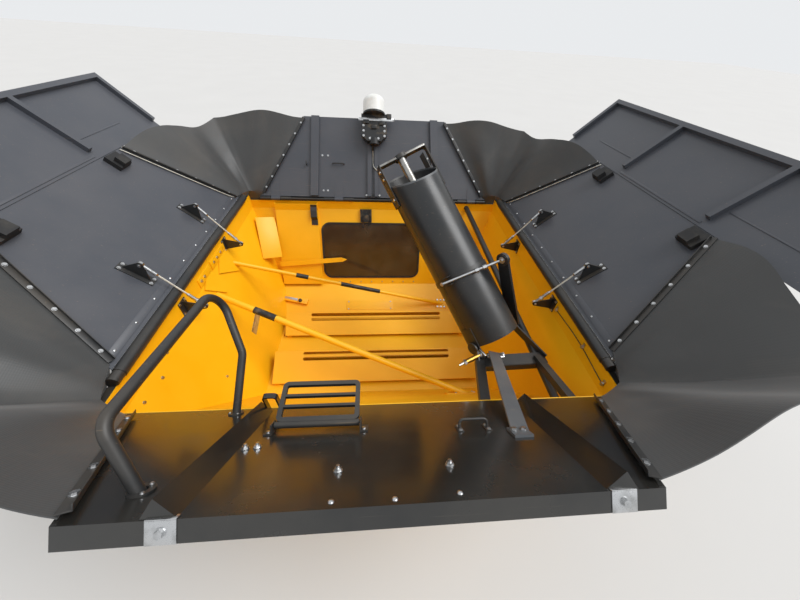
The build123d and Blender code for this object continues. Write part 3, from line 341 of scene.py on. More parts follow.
def bare_metal(name, colour, stain, roughness, grain_mm, stretch=(1, 1, 1), metallic=1.0):
    """Plated or worn steel: bright, with cloudy stains and a fine grain in the roughness."""
    tree = new_tree(bpy.data.materials.new(name))
    place, _, tint = clouded(tree, {"Scale": 24.0, "Detail": 5.0}, (0.45, 0.8), 1, colour, stain)
    run = add(tree, "Mapping", {"Vector": place["Object"], "Scale": stretch})
    grain = add(tree, "TexNoise", {"Vector": run, "Scale": 1000 / grain_mm, "Detail": 2.0})
    surface(tree, {
        "Metallic": metallic, "Base Color": tint,
        "Roughness": ranged(tree, grain, (0.3, 0.7), (roughness - 0.08, roughness + 0.1)),
        "Normal": bumped(tree, grain, 0.25, 0.0003)})


def rubber_sheet(name, colour, dust):
    """Cloth-backed rubber: dark and half matt, with a fine pressed weave and dust in broad patches."""
    tree = new_tree(bpy.data.materials.new(name))
    place, cloud, tint = clouded(
        tree, {"Scale": 2.6, "Detail": 7.0, "Roughness": 0.6, "Distortion": 0.6}, (0.48, 0.78), 0.28,
        colour, dust)
    # the cloth's threads are 1.2 mm apart; they are drawn 5 mm apart, so that they show
    weft, warp = (
        add(tree, "TexWave", {"Vector": place["UV"], "Scale": 31.4}, bands_direction=way) for way in "XY")
    weave = add(tree, "Math", {0: weft.outputs["Fac"], 1: warp.outputs["Fac"]}, operation="ADD")
    surface(tree, {
        "IOR": 1.52, "Sheen Weight": 0.15, "Sheen Roughness": 0.5, "Base Color": tint,
        "Roughness": ranged(tree, cloud, (0.35, 0.7), (0.44, 0.60)),
        "Normal": bumped(tree, weave, 0.25, 0.0005)})


def moulded_plastic(name, colour, dust, roughness):
    """Moulded plastic with a fine etched grain and a little dust in it."""
    tree = new_tree(bpy.data.materials.new(name))
    place, cloud, tint = clouded(tree, {"Scale": 14.0, "Detail": 4.0}, (0.5, 0.85), 0.4, colour, dust)
    grain = add(tree, "TexVoronoi", {"Vector": place["Object"], "Scale": 420.0})
    surface(tree, {
        "IOR": 1.5, "Base Color": tint,
        "Roughness": ranged(tree, cloud, target=(roughness - 0.08, roughness + 0.12)),
        "Normal": bumped(tree, grain, 0.2, 0.0004)})


def tinted_pane(name, colour, dust):
    """Brown acrylic pane: dark, clear and glossy, with a dusty film that thickens in patches."""
    tree = new_tree(bpy.data.materials.new(name))
    _, cloud, tint = clouded(tree, {"Scale": 5.0, "Detail": 6.0}, (0.4, 0.8), 0.22, colour, dust)
    surface(tree, {
        "IOR": 1.49, "Transmission Weight": 0.35, "Base Color": tint,
        "Roughness": ranged(tree, cloud, target=(0.04, 0.22))})


def both(*names):
    """Names of the right and the left one of each."""
    return tuple(f"{side}_{name}" for name in names for side in ("right", "left"))


FINISH_OF_NODE = {
    "yellow_powder_coat": (*both("wall"), "front_wall", "rear_wall", "tank_floor", "front_auger_cover",
                           "rear_auger_cover", "front_brace", "rear_brace"),
    "slate_powder_coat": (*both("flap_panel", "flap_wing"), "front_flap"),
    "gloss_black_coat": ("rear_panel",),
    "satin_black_coat": (*both("hinge_tube"), "auger_tube", "auger_trunnions", "lever_arm", "side_rail"),
    "black_chassis_coat": (*both("base_rail", "flap_brackets", "wall_brackets", "rim"), "front_support",
                           "rear_support", "handrail", "step_bracket", "grab_handle", "front_hinge",
                           "auger_head_frame", "auger_stand", "auger_strap", "auger_lower_bearing",
                           "folding_step", "front_wall_strap"),
    "grey_coat": ("auger_leg",),
    "worn_screw_steel": ("front_cross_auger", "rear_cross_auger", "auger_screw"),
    "zinc_plate": ("link_rod",),
    "cloth_backed_rubber": [f"{end}_{name}" for end in ("front", "rear") for name in both("gusset")],
    "black_rubber": ("window_seal", "front_seal", *both("flap_buffers")),
    "galvanised_wire": both("stays"),
    "black_moulding": ("sensor_housing", "level_sensor"),
    "white_moulding": ("sensor_dome",),
    "tinted_acrylic": ("window_glass",),
}


class TankColours(bpy.types.PropertyGroup):
    """Colours of the tank's finishes"""

    yellow: bpy.props.FloatVectorProperty(
        name="Tank yellow", description="Powder coat inside the tank",
        subtype="COLOR", min=0, max=1, default=linear("#FABB0A"))
    slate: bpy.props.FloatVectorProperty(
        name="Flap slate", description="Powder coat of the folding roof",
        subtype="COLOR", min=0, max=1, default=linear("#474A51"))
    black: bpy.props.FloatVectorProperty(
        name="Black", description="Satin black of brackets, rails and the auger",
        subtype="COLOR", min=0, max=1, default=linear("#26282A"))
    rubber: bpy.props.FloatVectorProperty(
        name="Rubber", description="Rubber sheet of the corner gussets",
        subtype="COLOR", min=0, max=1, default=linear("#393A3A"))
    dust: bpy.props.FloatVectorProperty(
        name="Dust", description="Field dust on what faces up",
        subtype="COLOR", min=0, max=1, default=linear("#B39B78"))


class FastenerSizes(bpy.types.PropertyGroup):
    """Sizes of the bolts and rivets"""

    rivet_radius: bpy.props.FloatProperty(
        name="Rivet head", description="Radius of a hinge rivet's head",
        unit="LENGTH", min=0.003, max=0.02, default=0.008)
    clamp_bolt: bpy.props.FloatProperty(
        name="Clamp bolt", description="Thread of the bolts in the clamp strips",
        unit="LENGTH", min=0.004, max=0.02, default=0.010)
    panel_bolt: bpy.props.FloatProperty(
        name="Panel bolt", description="Thread of the bolts in panels and brackets",
        unit="LENGTH", min=0.004, max=0.03, default=0.014)


class SoftSizes(bpy.types.PropertyGroup):
    """Sizes of the gussets and stays"""

    sheet_thickness: bpy.props.FloatProperty(
        name="Gusset thickness", description="Thickness of the rubber sheet",
        unit="LENGTH", min=0.001, max=0.01, default=0.004)
    sag: bpy.props.FloatProperty(
        name="Gusset sag", description="How far a gusset's halves belly between their edges",
        unit="LENGTH", min=0, max=0.15, default=0.060)
    rope_radius: bpy.props.FloatProperty(
        name="Stay rope", description="Radius of the wire rope",
        unit="LENGTH", min=0.001, max=0.01, default=0.006)


class StageLight(bpy.types.PropertyGroup):
    """Studio light"""

    world: bpy.props.FloatProperty(
        name="World", description="Light from all round",
        min=0, max=2, default=0.80)
    sun: bpy.props.FloatProperty(
        name="Sun", description="Large soft lamp above",
        min=0, max=10, default=2.3)


class TANK_OT_finishes(bpy.types.Operator):
    """Makes the finishes and puts one on each CAD node"""

    bl_idname = "tank.finishes"
    bl_label = "Finishes"

    def execute(self, context):
        tint = context.scene.tank_colours
        dust = tint.dust
        coated_steel("yellow_powder_coat", tint.yellow, linear("#DDAE4C"), 0.42, 0.20)
        coated_steel("slate_powder_coat", tint.slate, dust, 0.34, 0.035)
        coated_steel(
            "gloss_black_coat", linear("#20201F"), linear("#5C564C"), 0.22, 0.20, coat=0.25, peel=0.1)
        coated_steel("satin_black_coat", tint.black, dust, 0.34, 0.06)
        coated_steel("black_chassis_coat", tint.black, dust, 0.42, 0.10)
        coated_steel("grey_coat", linear("#565A5E"), dust, 0.42, 0.2)
        bare_metal("worn_screw_steel", linear("#A7A6A2"), linear("#6B5F52"), 0.35, 3.0, (1, 6, 6))
        bare_metal("zinc_plate", linear("#C9CACB"), linear("#9A9B9A"), 0.32, 4.0)
        bare_metal("galvanised_wire", linear("#D6D2C6"), linear("#A39E92"), 0.45, 4.0, metallic=0.35)
        bare_metal("brass_barrel", linear("#C89B4A"), linear("#8A6B35"), 0.35, 4.0)
        rubber_sheet("cloth_backed_rubber", tint.rubber, linear("#6B655D"))
        moulded_plastic("black_rubber", linear("#1B1B1C"), linear("#5A554C"), 0.6)
        moulded_plastic("black_moulding", linear("#1E1F20"), dust, 0.5)
        moulded_plastic("white_moulding", linear("#E4E4E0"), linear("#A89F90"), 0.4)
        moulded_plastic("grey_cable_sheath", linear("#A9A9A2"), dust, 0.5)
        tinted_pane("tinted_acrylic", linear("#4A3620"), linear("#8C7A5E"))
        for finish, nodes in FINISH_OF_NODE.items():
            for name in nodes:
                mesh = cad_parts[name].data
                mesh.materials.clear()
                mesh.materials.append(bpy.data.materials[finish])
        missing = set(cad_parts) - {n for nodes in FINISH_OF_NODE.values() for n in nodes}
        if missing:
            raise RuntimeError(f"no finish for {sorted(missing)}")
        return {"FINISHED"}


# slanted edges where a gusset is clamped: start and end on each panel, for the right side
FLAP_EDGE = ((0.060, 1.025), (0.860, 0.641))
FRONT_EDGE = ((1.253, 0.060), (0.786, 0.850))
REAR_EDGE = ((1.209, 0.060), (0.800, 0.810))
CORNER = Vector((1.375, 1.222, TOP + 0.065))
FRONT_FOLD = Vector((1.620, 1.500, TOP + 0.680))
REAR_FOLD = Vector((1.850, -1.550, TOP + 0.640))
# hem that closes the corner behind the hinge: under the flap, at the corner and under the end panel
FRONT_HEM = (Vector((1.452, 1.070, TOP + 0.010)), Vector((1.452, 1.298, TOP - 0.100)),
             Vector((1.240, 1.302, TOP - 0.110)))
REAR_HEM = (Vector((1.452, -1.070, TOP + 0.010)), Vector((1.452, -1.298, TOP - 0.060)),
            Vector((1.225, -1.276, TOP - 0.040)))
HEM_SHARE = 0.10        # of the sheet's rows that lie in the hem
# end of the tank, way along Y, its panel's surface, edge and name, fold, hem and depth of the creases
GUSSETS = (("front", 1, on_front, FRONT_EDGE, "front_flap", FRONT_FOLD, FRONT_HEM, 0.034),
           ("rear", -1, on_rear, REAR_EDGE, "rear_panel", REAR_FOLD, REAR_HEM, 0.030))


def across(point, side):
    """Point of the right side, or its twin on the left."""
    return Vector((point.x * side, point.y, point.z))


def along_three(points, u):
    """Point at u from 0 to 1 on the line through three points, the second at the middle."""
    start, middle, end = points
    return start.lerp(middle, 2 * u) if u < 0.5 else middle.lerp(end, 2 * u - 1)


def sheet_between(name, flap_edge, panel_edge, corner, fold, hem, belly, thickness, creases):
    """Rubber sheet between two clamped edges: two bellied halves, a soft fold and a hem below."""
    bm = bmesh.new()
    uv = bm.loops.layers.uv.new("UVMap")
    bmesh.ops.create_grid(bm, x_segments=64, y_segments=40, size=0.5, calc_uvs=False)
    for vert in bm.verts:
        u, row = vert.co.x + 0.5, vert.co.y + 0.5
        for loop in vert.link_loops:
            loop[uv].uv = (u, row)
        v = max(0.0, (row - HEM_SHARE) / (1 - HEM_SHARE))
        start = flap_edge[0].lerp(flap_edge[1], v)
        end = panel_edge[0].lerp(panel_edge[1], v)
        ridge = corner.lerp(fold, v)
        straight = along_three((start, ridge, end), u)
        rounded = start * (1 - u) ** 2 + (ridge * 2 - (start + end) / 2) * 2 * u * (1 - u) + end * u ** 2
        place = straight.lerp(rounded, 0.25)
        half = math.sin(2 * math.pi * min(u, 1 - u)) ** 2
        place -= belly * half * v ** 0.7
        # the free edge rises beside both panels and dips halfway between the flap and the fold
        wave = math.sin(4 * math.pi * u)
        place.z += v * v * (0.030 * half if u > 0.5 else (0.045 if u < 0.25 else 0.032) * wave)
        free = math.sin(math.pi * u)
        fan = noise.noise(Vector((u * 7.0, 0.8 * v, corner.x * 2.3 + corner.y))) * creases
        fan *= min(1.0, 2.5 * v)
        crumple = noise.noise(place * 2.6) * 0.020 * v
        place += belly.normalized() * (fan + crumple) * free
        if row < HEM_SHARE:
            place = place.lerp(along_three(hem, u), 1 - row / HEM_SHARE)
        vert.co = place
    bmesh.ops.recalc_face_normals(bm, faces=bm.faces)
    area = sum(f.calc_area() for f in bm.faces)
    across_fold = (flap_edge[1] - fold).length + (fold - panel_edge[1]).length
    width = max((flap_edge[1] - panel_edge[1]).length, across_fold)
    length = (fold - corner).length + 0.15
    bmesh.ops.solidify(bm, geom=bm.faces[:], thickness=thickness)
    return piece(name, bm, "cloth_backed_rubber"), width, length, area


class TANK_OT_gussets(bpy.types.Operator):
    """Makes the four rubber corner gussets"""

    bl_idname = "tank.gussets"
    bl_label = "Rubber gussets"

    def execute(self, context):
        soft = context.scene.tank_soft
        clear = 0.004 + soft.sheet_thickness
        for name, side in SIDES:
            for end, way, on_panel, edge, rest, fold, hem, creases in GUSSETS:
                flap = [across(on_flap(1, s, way * y, clear), side) for s, y in FLAP_EDGE]
                panel = [across(on_panel(x, t, clear), side) for x, t in edge]
                corner = Vector((side * CORNER.x, way * CORNER.y, CORNER.z))
                inward = Vector((-side * 0.5, -way * 0.5, 0.7)) * -soft.sag
                sheet, width, length, area = sheet_between(
                    f"{end}_{name}_gusset_sheet", flap, panel, corner, across(fold, side),
                    [across(p, side) for p in hem], inward, soft.sheet_thickness, creases)
                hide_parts(f"{end}_{name}_gusset")
                if end == "front":
                    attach(sheet, "tank")
                    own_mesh(sheet)
                else:
                    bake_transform(sheet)
        return {"FINISHED"}


CLAMP_IN = 0.012        # of a strip's middle from the gusset's edge
# the thin cable beside a flap's front strip: out from the hinge, y and height over the flap
EDGE_CABLE = ((0.855, 0.600, 0.004), (0.860, 0.590, 0.014), (0.700, 0.668, 0.012), (0.400, 0.812, 0.012),
              (0.130, 0.942, 0.012), (0.070, 0.985, 0.010), (0.055, 1.020, 0.006))


def clamp_strip(name, points, normal, inside, body, bolts, size):
    """Angle bar over a gusset's edge, with its upright leg on the inside, and a row of bolts through it."""
    start, end = points
    along = end - start
    bar, heads = bmesh.new(), bmesh.new()
    middle = (start + end) / 2 + normal * 0.006
    add_block(bar, middle, normal, (along.length, 0.034, 0.004), along)
    across_bar = normal.cross(along.normalized())
    if across_bar.dot(inside) < 0:
        across_bar = -across_bar
    leg = middle + across_bar * 0.015 + normal * 0.009
    add_block(bar, leg, normal, (along.length, 0.004, 0.018), along)
    for i in range(bolts):
        at = start.lerp(end, (i + 0.5) / bolts)
        add_bolt(heads, at + normal * 0.008, normal, size)
    piece(name, bar, "black_chassis_coat", body)
    piece(name + "_bolts", heads, "zinc_plate", body)


class TANK_OT_clamps(bpy.types.Operator):
    """Makes the clamp strips along the gussets' edges, their bolts and the thin cable beside two of them"""

    bl_idname = "tank.clamps"
    bl_label = "Clamp strips"

    def execute(self, context):
        size = context.scene.tank_fasteners.clamp_bolt
        clear = 0.004 + 2 * context.scene.tank_soft.sheet_thickness
        for name, side in SIDES:
            for end, way in (("front", 1), ("rear", -1)):
                line = [on_flap(side, s, way * (y - CLAMP_IN), clear) for s, y in FLAP_EDGE]
                inside = Vector((0, -way, 0))
                clamp_strip(
                    f"{name}_flap_{end}_strip", line, flap_normal(side), inside, f"{name}_flap", 6, size)
            for panel, on_panel, ends, normal, body, bolts, thread in (
                    ("front_flap", on_front, FRONT_EDGE, FRONT_NORMAL, "front_flap", 7, size),
                    ("rear_panel", on_rear, REAR_EDGE, REAR_NORMAL, "tank", 5, size * 1.3)):
                line = [across(on_panel(x - CLAMP_IN, t, clear), side) for x, t in ends]
                inside = Vector((-side, 0, -0.5))
                clamp_strip(f"{panel}_{name}_strip", line, normal, inside, body, bolts, thread)
            edge = bmesh.new()
            add_wire(edge, [on_flap(side, *place) for place in EDGE_CABLE], 0.004)
            piece(f"{name}_flap_edge_cable", edge, "galvanised_wire", f"{name}_flap")
        return {"FINISHED"}


RIVETS, RIVET_PITCH, RIVET_LINE = 10, 0.21, 0.078     # the line lies this far out from the hinge
WELDS, WELD_PITCH = 18, 0.041
# on the front flap: x and height up the slope of the strips' bolts
STRIP_BOLTS = ((0.591, 0.470), (0.530, 0.470), (0.589, 0.095), (0.541, 0.096))
# its wire handle runs level and its hook up the slope: place along that, and height off the flap
FLAP_HANDLE = ((-0.478, 0), (-0.478, 0.020), (-0.472, 0.030), (-0.361, 0.030), (-0.355, 0.020), (-0.355, 0))
FLAP_HOOK = ((0.364, 0), (0.364, 0.030), (0.366, 0.036), (0.400, 0.036))


class TANK_OT_flap_details(bpy.types.Operator):
    """Makes the side flaps' rivets, hems and beads, and the front flap's bolts, welds, handle and hook"""

    bl_idname = "tank.flap_details"
    bl_label = "Flap details"

    def execute(self, context):
        sizes = context.scene.tank_fasteners
        for name, side in SIDES:
            rivets, sheet = bmesh.new(), bmesh.new()
            normal = flap_normal(side)
            for i in range(RIVETS):
                y = (i - (RIVETS - 1) / 2) * RIVET_PITCH
                add_rivet(rivets, on_flap(side, RIVET_LINE, y, 0.003), normal, sizes.rivet_radius)
            add_block(sheet, on_flap(side, RIVET_LINE, 0, 0.0015), normal, (2.02, 0.044, 0.003), (0, 1, 0))
            add_block(sheet, on_flap(side, 0.892, -0.055, 0.006), normal, (0.84, 0.016, 0.004), (0, 1, 0))
            for y in (0.630, -0.790):
                bead = on_flap(side, 1.018, y, 0.0055)
                add_block(sheet, bead, normal, (0.55, 0.010, 0.004), (0, 1, 0), 0.0015)
            piece(f"{name}_hinge_rivets", rivets, "zinc_plate", f"{name}_flap")
            piece(f"{name}_flap_hems", sheet, "slate_powder_coat", f"{name}_flap")
        bolts, welds, fittings = bmesh.new(), bmesh.new(), bmesh.new()
        for side in (1, -1):
            for x, t in STRIP_BOLTS:
                add_bolt(bolts, on_front(side * x, t), FRONT_NORMAL, sizes.clamp_bolt)
            for i in range(WELDS):
                t = 0.140 + i * WELD_PITCH
                add_rivet(welds, on_front(side * (0.625 - 0.030 * t), t), FRONT_NORMAL, 0.0045)
        add_block(fittings, on_front(-0.033, 0.052, 0.0025), FRONT_NORMAL, (0.170, 0.036, 0.005))
        for x in (-0.107, 0.042):
            add_bolt(bolts, on_front(x, 0.052, 0.005), FRONT_NORMAL, sizes.clamp_bolt)
        add_wire(fittings, [on_front(x, 0.385, up) for x, up in FLAP_HANDLE], 0.006)
        add_wire(fittings, [on_front(-0.764, t, up) for t, up in FLAP_HOOK], 0.006)
        piece("front_flap_bolts", bolts, "zinc_plate", "front_flap")
        piece("front_flap_welds", welds, "slate_powder_coat", "front_flap")
        piece("front_flap_fittings", fittings, "black_chassis_coat", "front_flap")
        return {"FINISHED"}


# right side: middle of the stays' brackets on the wall and on the flap, and the stays' own places
STAY_LOW = Vector((1.255, 0, TOP - 0.090))
STAY_HIGH = on_flap(1, 0.250, 0, 0.090)
STAY_YS = (0.410, -0.410)
BESIDE_PLATE = 0.010    # the eyes sit this far beside their bracket's middle
SWAGE_R, EYE_R = 0.012, 0.020
STRANDS, STRAND_STEPS = 6, 10       # strands of a rope, and mesh steps in one turn of a strand
LAY = 9                 # length of one turn, in rope radii


def rope(start, end, radius):
    """Bmesh of strands wound round each other from start to end."""
    bm = bmesh.new()
    along = Vector(end) - Vector(start)
    turns = along.length / (radius * LAY)
    steps = int(turns * STRAND_STEPS)
    for k in range(STRANDS):
        angle = k * 2 * math.pi / STRANDS
        aside = Vector((math.cos(angle), math.sin(angle), 0)) * radius * 0.64
        matrix = Matrix.Translation(aside)
        ring = bmesh.ops.create_circle(bm, segments=6, radius=radius * 0.40, matrix=matrix)
        edges = list({e for v in ring["verts"] for e in v.link_edges})
        bmesh.ops.spin(
            bm, geom=edges + ring["verts"], cent=(0, 0, 0), axis=(0, 0, 1),
            dvec=(0, 0, along.length / steps), angle=2 * math.pi * turns, steps=steps, use_duplicate=False)
    bmesh.ops.transform(bm, matrix=placed(start, along, (0, 1, 0)), verts=bm.verts)
    bmesh.ops.recalc_face_normals(bm, faces=bm.faces)
    return bm


class TANK_OT_stays(bpy.types.Operator):
    """Makes the wire rope stays with their swaged ends, eyes and pins"""

    bl_idname = "tank.stays"
    bl_label = "Wire stays"

    def execute(self, context):
        radius = context.scene.tank_soft.rope_radius
        for name, side in SIDES:
            ends, eyes = bmesh.new(), bmesh.new()
            low = across(STAY_LOW, side)
            high = across(STAY_HIGH, side)
            for place, y in zip(("front", "rear"), STAY_YS):
                foot = low + Vector((0, y + BESIDE_PLATE, 0))
                head = high + Vector((0, y + BESIDE_PLATE, 0))
                along = (head - foot).normalized()
                wound = rope(foot + along * 0.10, head - along * 0.09, radius)
                made = piece(f"{name}_{place}_stay_rope", wound, "galvanised_wire")
                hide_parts(f"{name}_stays")
                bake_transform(made)
                add_rod(ends, foot + along * 0.055, foot + along * 0.070, 0.019, 6)
                # swaged end, eye and pin at each end of the rope
                for bm, eye, way, swage in ((ends, foot, along, 0.130), (eyes, head, -along, 0.100)):
                    add_rod(bm, eye + way * 0.010, eye + way * swage, SWAGE_R)
                    add_rod(bm, eye + way * swage, eye + way * (swage + SWAGE_R), SWAGE_R, top=radius)
                    add_rod(bm, eye - Vector((0, 0.006, 0)), eye + Vector((0, 0.008, 0)), EYE_R, 16)
                    for dy, facing in ((0.008, 1), (-0.014, -1)):
                        add_bolt(bm, eye + Vector((0, dy, 0)), (0, facing, 0), 0.010)
                for dy in (-0.033, 0.033):
                    for dz in (-0.044, 0.044):
                        add_bolt(ends, (side * 1.3937, y + dy, low.z + dz), (-side, 0, 0), 0.010)
                for s in (0.145, 0.328):
                    for dy in (-0.020, 0.020):
                        add_bolt(eyes, on_flap(side, s, y + dy, 0.006), flap_normal(side), 0.010)
            piece(f"{name}_stay_lower_ends", ends, "zinc_plate", "tank")
            piece(f"{name}_stay_upper_ends", eyes, "zinc_plate", f"{name}_flap")
        return {"FINISHED"}


# on the rear panel: x and height up its slope, or x alone where a row is level
PANEL_BOLTS = ((-0.501, 0.460), (-0.460, 0.453), (-0.139, 0.648), (0.222, 0.648))
PANEL_STUDS = ((-0.139, 0.801), (0.032, 0.806), (0.214, 0.797))
RAIL_FEET = ((-0.686, 0.700), (-0.710, 0.062))
STEP_FEET = (-0.460, -0.070)
HANDLE_FEET = (0.335, 0.455)
LEG_BOLTS = (0.547, 0.587)
CLIPS = (-0.547, 0.672)
FOOT_R = 0.028          # of the circle that a handrail foot's bolts stand on


class TANK_OT_rear_details(bpy.types.Operator):
    """Makes the rear panel's bolts, the bolts of what stands on it, and the lip's two clips"""

    bl_idname = "tank.rear_details"
    bl_label = "Rear panel details"

    def execute(self, context):
        size = context.scene.tank_fasteners.panel_bolt
        bolts = bmesh.new()
        for x, t in PANEL_BOLTS:
            add_bolt(bolts, on_rear(x, t), REAR_NORMAL, size, 0.008)
        for x, t in PANEL_STUDS:
            add_rivet(bolts, on_rear(x, t), REAR_NORMAL, 0.009)
        for x in STEP_FEET:
            add_bolt(bolts, on_rear(x, 0.335, 0.006), REAR_NORMAL, 0.010)
        for x, t in RAIL_FEET:
            for k in range(3):
                angle = 0.9 + k * 2 * math.pi / 3
                foot = on_rear(x + FOOT_R * math.cos(angle), t + FOOT_R * math.sin(angle), 0.006)
                add_bolt(bolts, foot, REAR_NORMAL, 0.006)
        for x in LEG_BOLTS:
            add_bolt(bolts, on_rear(x, 0.423, 0.0103), REAR_NORMAL, 0.013)
        feet = bmesh.new()
        for x in HANDLE_FEET:
            add_block(feet, on_rear(x, 0.366, 0.002), REAR_NORMAL, (0.026, 0.060, 0.004))
            for dt in (-0.020, 0.020):
                add_bolt(bolts, on_rear(x, 0.366 + dt, 0.004), REAR_NORMAL, 0.008)
        piece("handle_feet", feet, "black_chassis_coat", "tank")
        piece("tank_bolts", bolts, "zinc_plate", "tank")
        clips = bmesh.new()
        for x in CLIPS:
            add_block(clips, on_rear(x, 0.8315, -0.030), LIP_NORMAL, (0.075, 0.060, 0.003))
            add_block(clips, on_rear(x, 0.824, 0.0015), REAR_NORMAL, (0.075, 0.018, 0.003))
            add_bolt(clips, on_rear(x, 0.833, -0.030), LIP_NORMAL, 0.013)
        piece("lip_clips", clips, "zinc_plate", "tank")
        return {"FINISHED"}


# on the front flap: x and height up the slope, and height off it for the cable
HOUSING_BOLTS = ((-0.128, 0.752), (-0.128, 0.700), (-0.128, 0.650), (0.098, 0.752), (0.098, 0.700),
                 (0.098, 0.650), (-0.060, 0.625), (0.030, 0.625))
HOUSING_PADS = ((-0.100, 0.790), (0.070, 0.780), (-0.015, 0.740))
SENSOR_CABLE = ((-0.030, 0.530, 0.055), (-0.030, 0.500, 0.028), (-0.030, 0.460, 0.008),
                (-0.030, 0.400, 0.008), (-0.026, 0.370, 0.014), (-0.016, 0.345, 0.036),
                (0.012, 0.320, 0.037), (0.038, 0.300, 0.030), (0.056, 0.285, 0.012),
                (0.070, 0.270, 0.007), (0.078, 0.250, 0.002))


class TANK_OT_sensor(bpy.types.Operator):
    """Makes the sensor's lugs, bolts, dome ring and cable"""

    bl_idname = "tank.sensor"
    bl_label = "Sensor details"

    def execute(self, context):
        metal = bmesh.new()
        for x, t in HOUSING_BOLTS:
            add_bolt(metal, on_front(x, t, 0.120), FRONT_NORMAL, 0.012)
        add_block(metal, on_front(0.0125, 0.815, 0.1225), FRONT_NORMAL, (0.390, 0.030, 0.005))
        for x in (-0.180, 0.205):
            add_block(metal, on_front(x, 0.815, 0.135), FRONT_NORMAL, (0.005, 0.030, 0.030))
        piece("sensor_bolts", metal, "zinc_plate", "front_flap")
        plastic = bmesh.new()
        add_block(plastic, on_front(0.145, 0.845, 0.105), FRONT_NORMAL, (0.055, 0.060, 0.045), edge=0.006)
        add_disc(plastic, placed(on_front(-0.015, 0.8635, 0.100), FRONT_UP), 0.119, 0.016, 48)
        add_rod(plastic, on_front(-0.030, 0.560, 0.086), on_front(-0.030, 0.525, 0.050), 0.011, 16)
        add_disc(plastic, placed(on_front(0.078, 0.250), FRONT_NORMAL), 0.014, 0.006, 20, 0.011)
        for x, t in HOUSING_PADS:
            add_block(plastic, on_front(x, t, 0.122), FRONT_NORMAL, (0.060, 0.040, 0.024), edge=0.004)
        piece("sensor_lugs", plastic, "black_moulding", "front_flap")
        cable = bmesh.new()
        add_wire(cable, [on_front(*place) for place in SENSOR_CABLE], 0.0055)
        piece("sensor_cable", cable, "grey_cable_sheath", "front_flap")
        return {"FINISHED"}


BOW_TURN = math.radians(-28)        # of the bow bar about the tube's axis
BOW = AUGER_SIDE * math.cos(BOW_TURN) - AUGER_UP * math.sin(BOW_TURN)
BOW_FLAT = AUGER_UP * math.cos(BOW_TURN) + AUGER_SIDE * math.sin(BOW_TURN)
# the plane that cuts the tube's mouth, and the link rod's lower end
MOUTH_NORMAL = (AUGER_ALONG - AUGER_SIDE * 0.175 + AUGER_UP * 0.525).normalized()
ROD_LOW = on_auger(0.525, -0.274, 0.105)
BOW_AT = 1.538          # the bow bar's outer face, along the tube's axis
SEAM_ANGLE = 3.15       # of the tube's seam about its axis, from AUGER_SIDE
SEAM_BEADS, BEAD_PITCH = 52, 0.0215
# angle of each flange about the axis, and where its bolts sit along the tube
FLANGES = ((3.330, (1.470, 1.410, 1.240)), (0.020, (1.240, 1.190)))
STOP_Z = TOP - 0.222    # the stop screw's axis


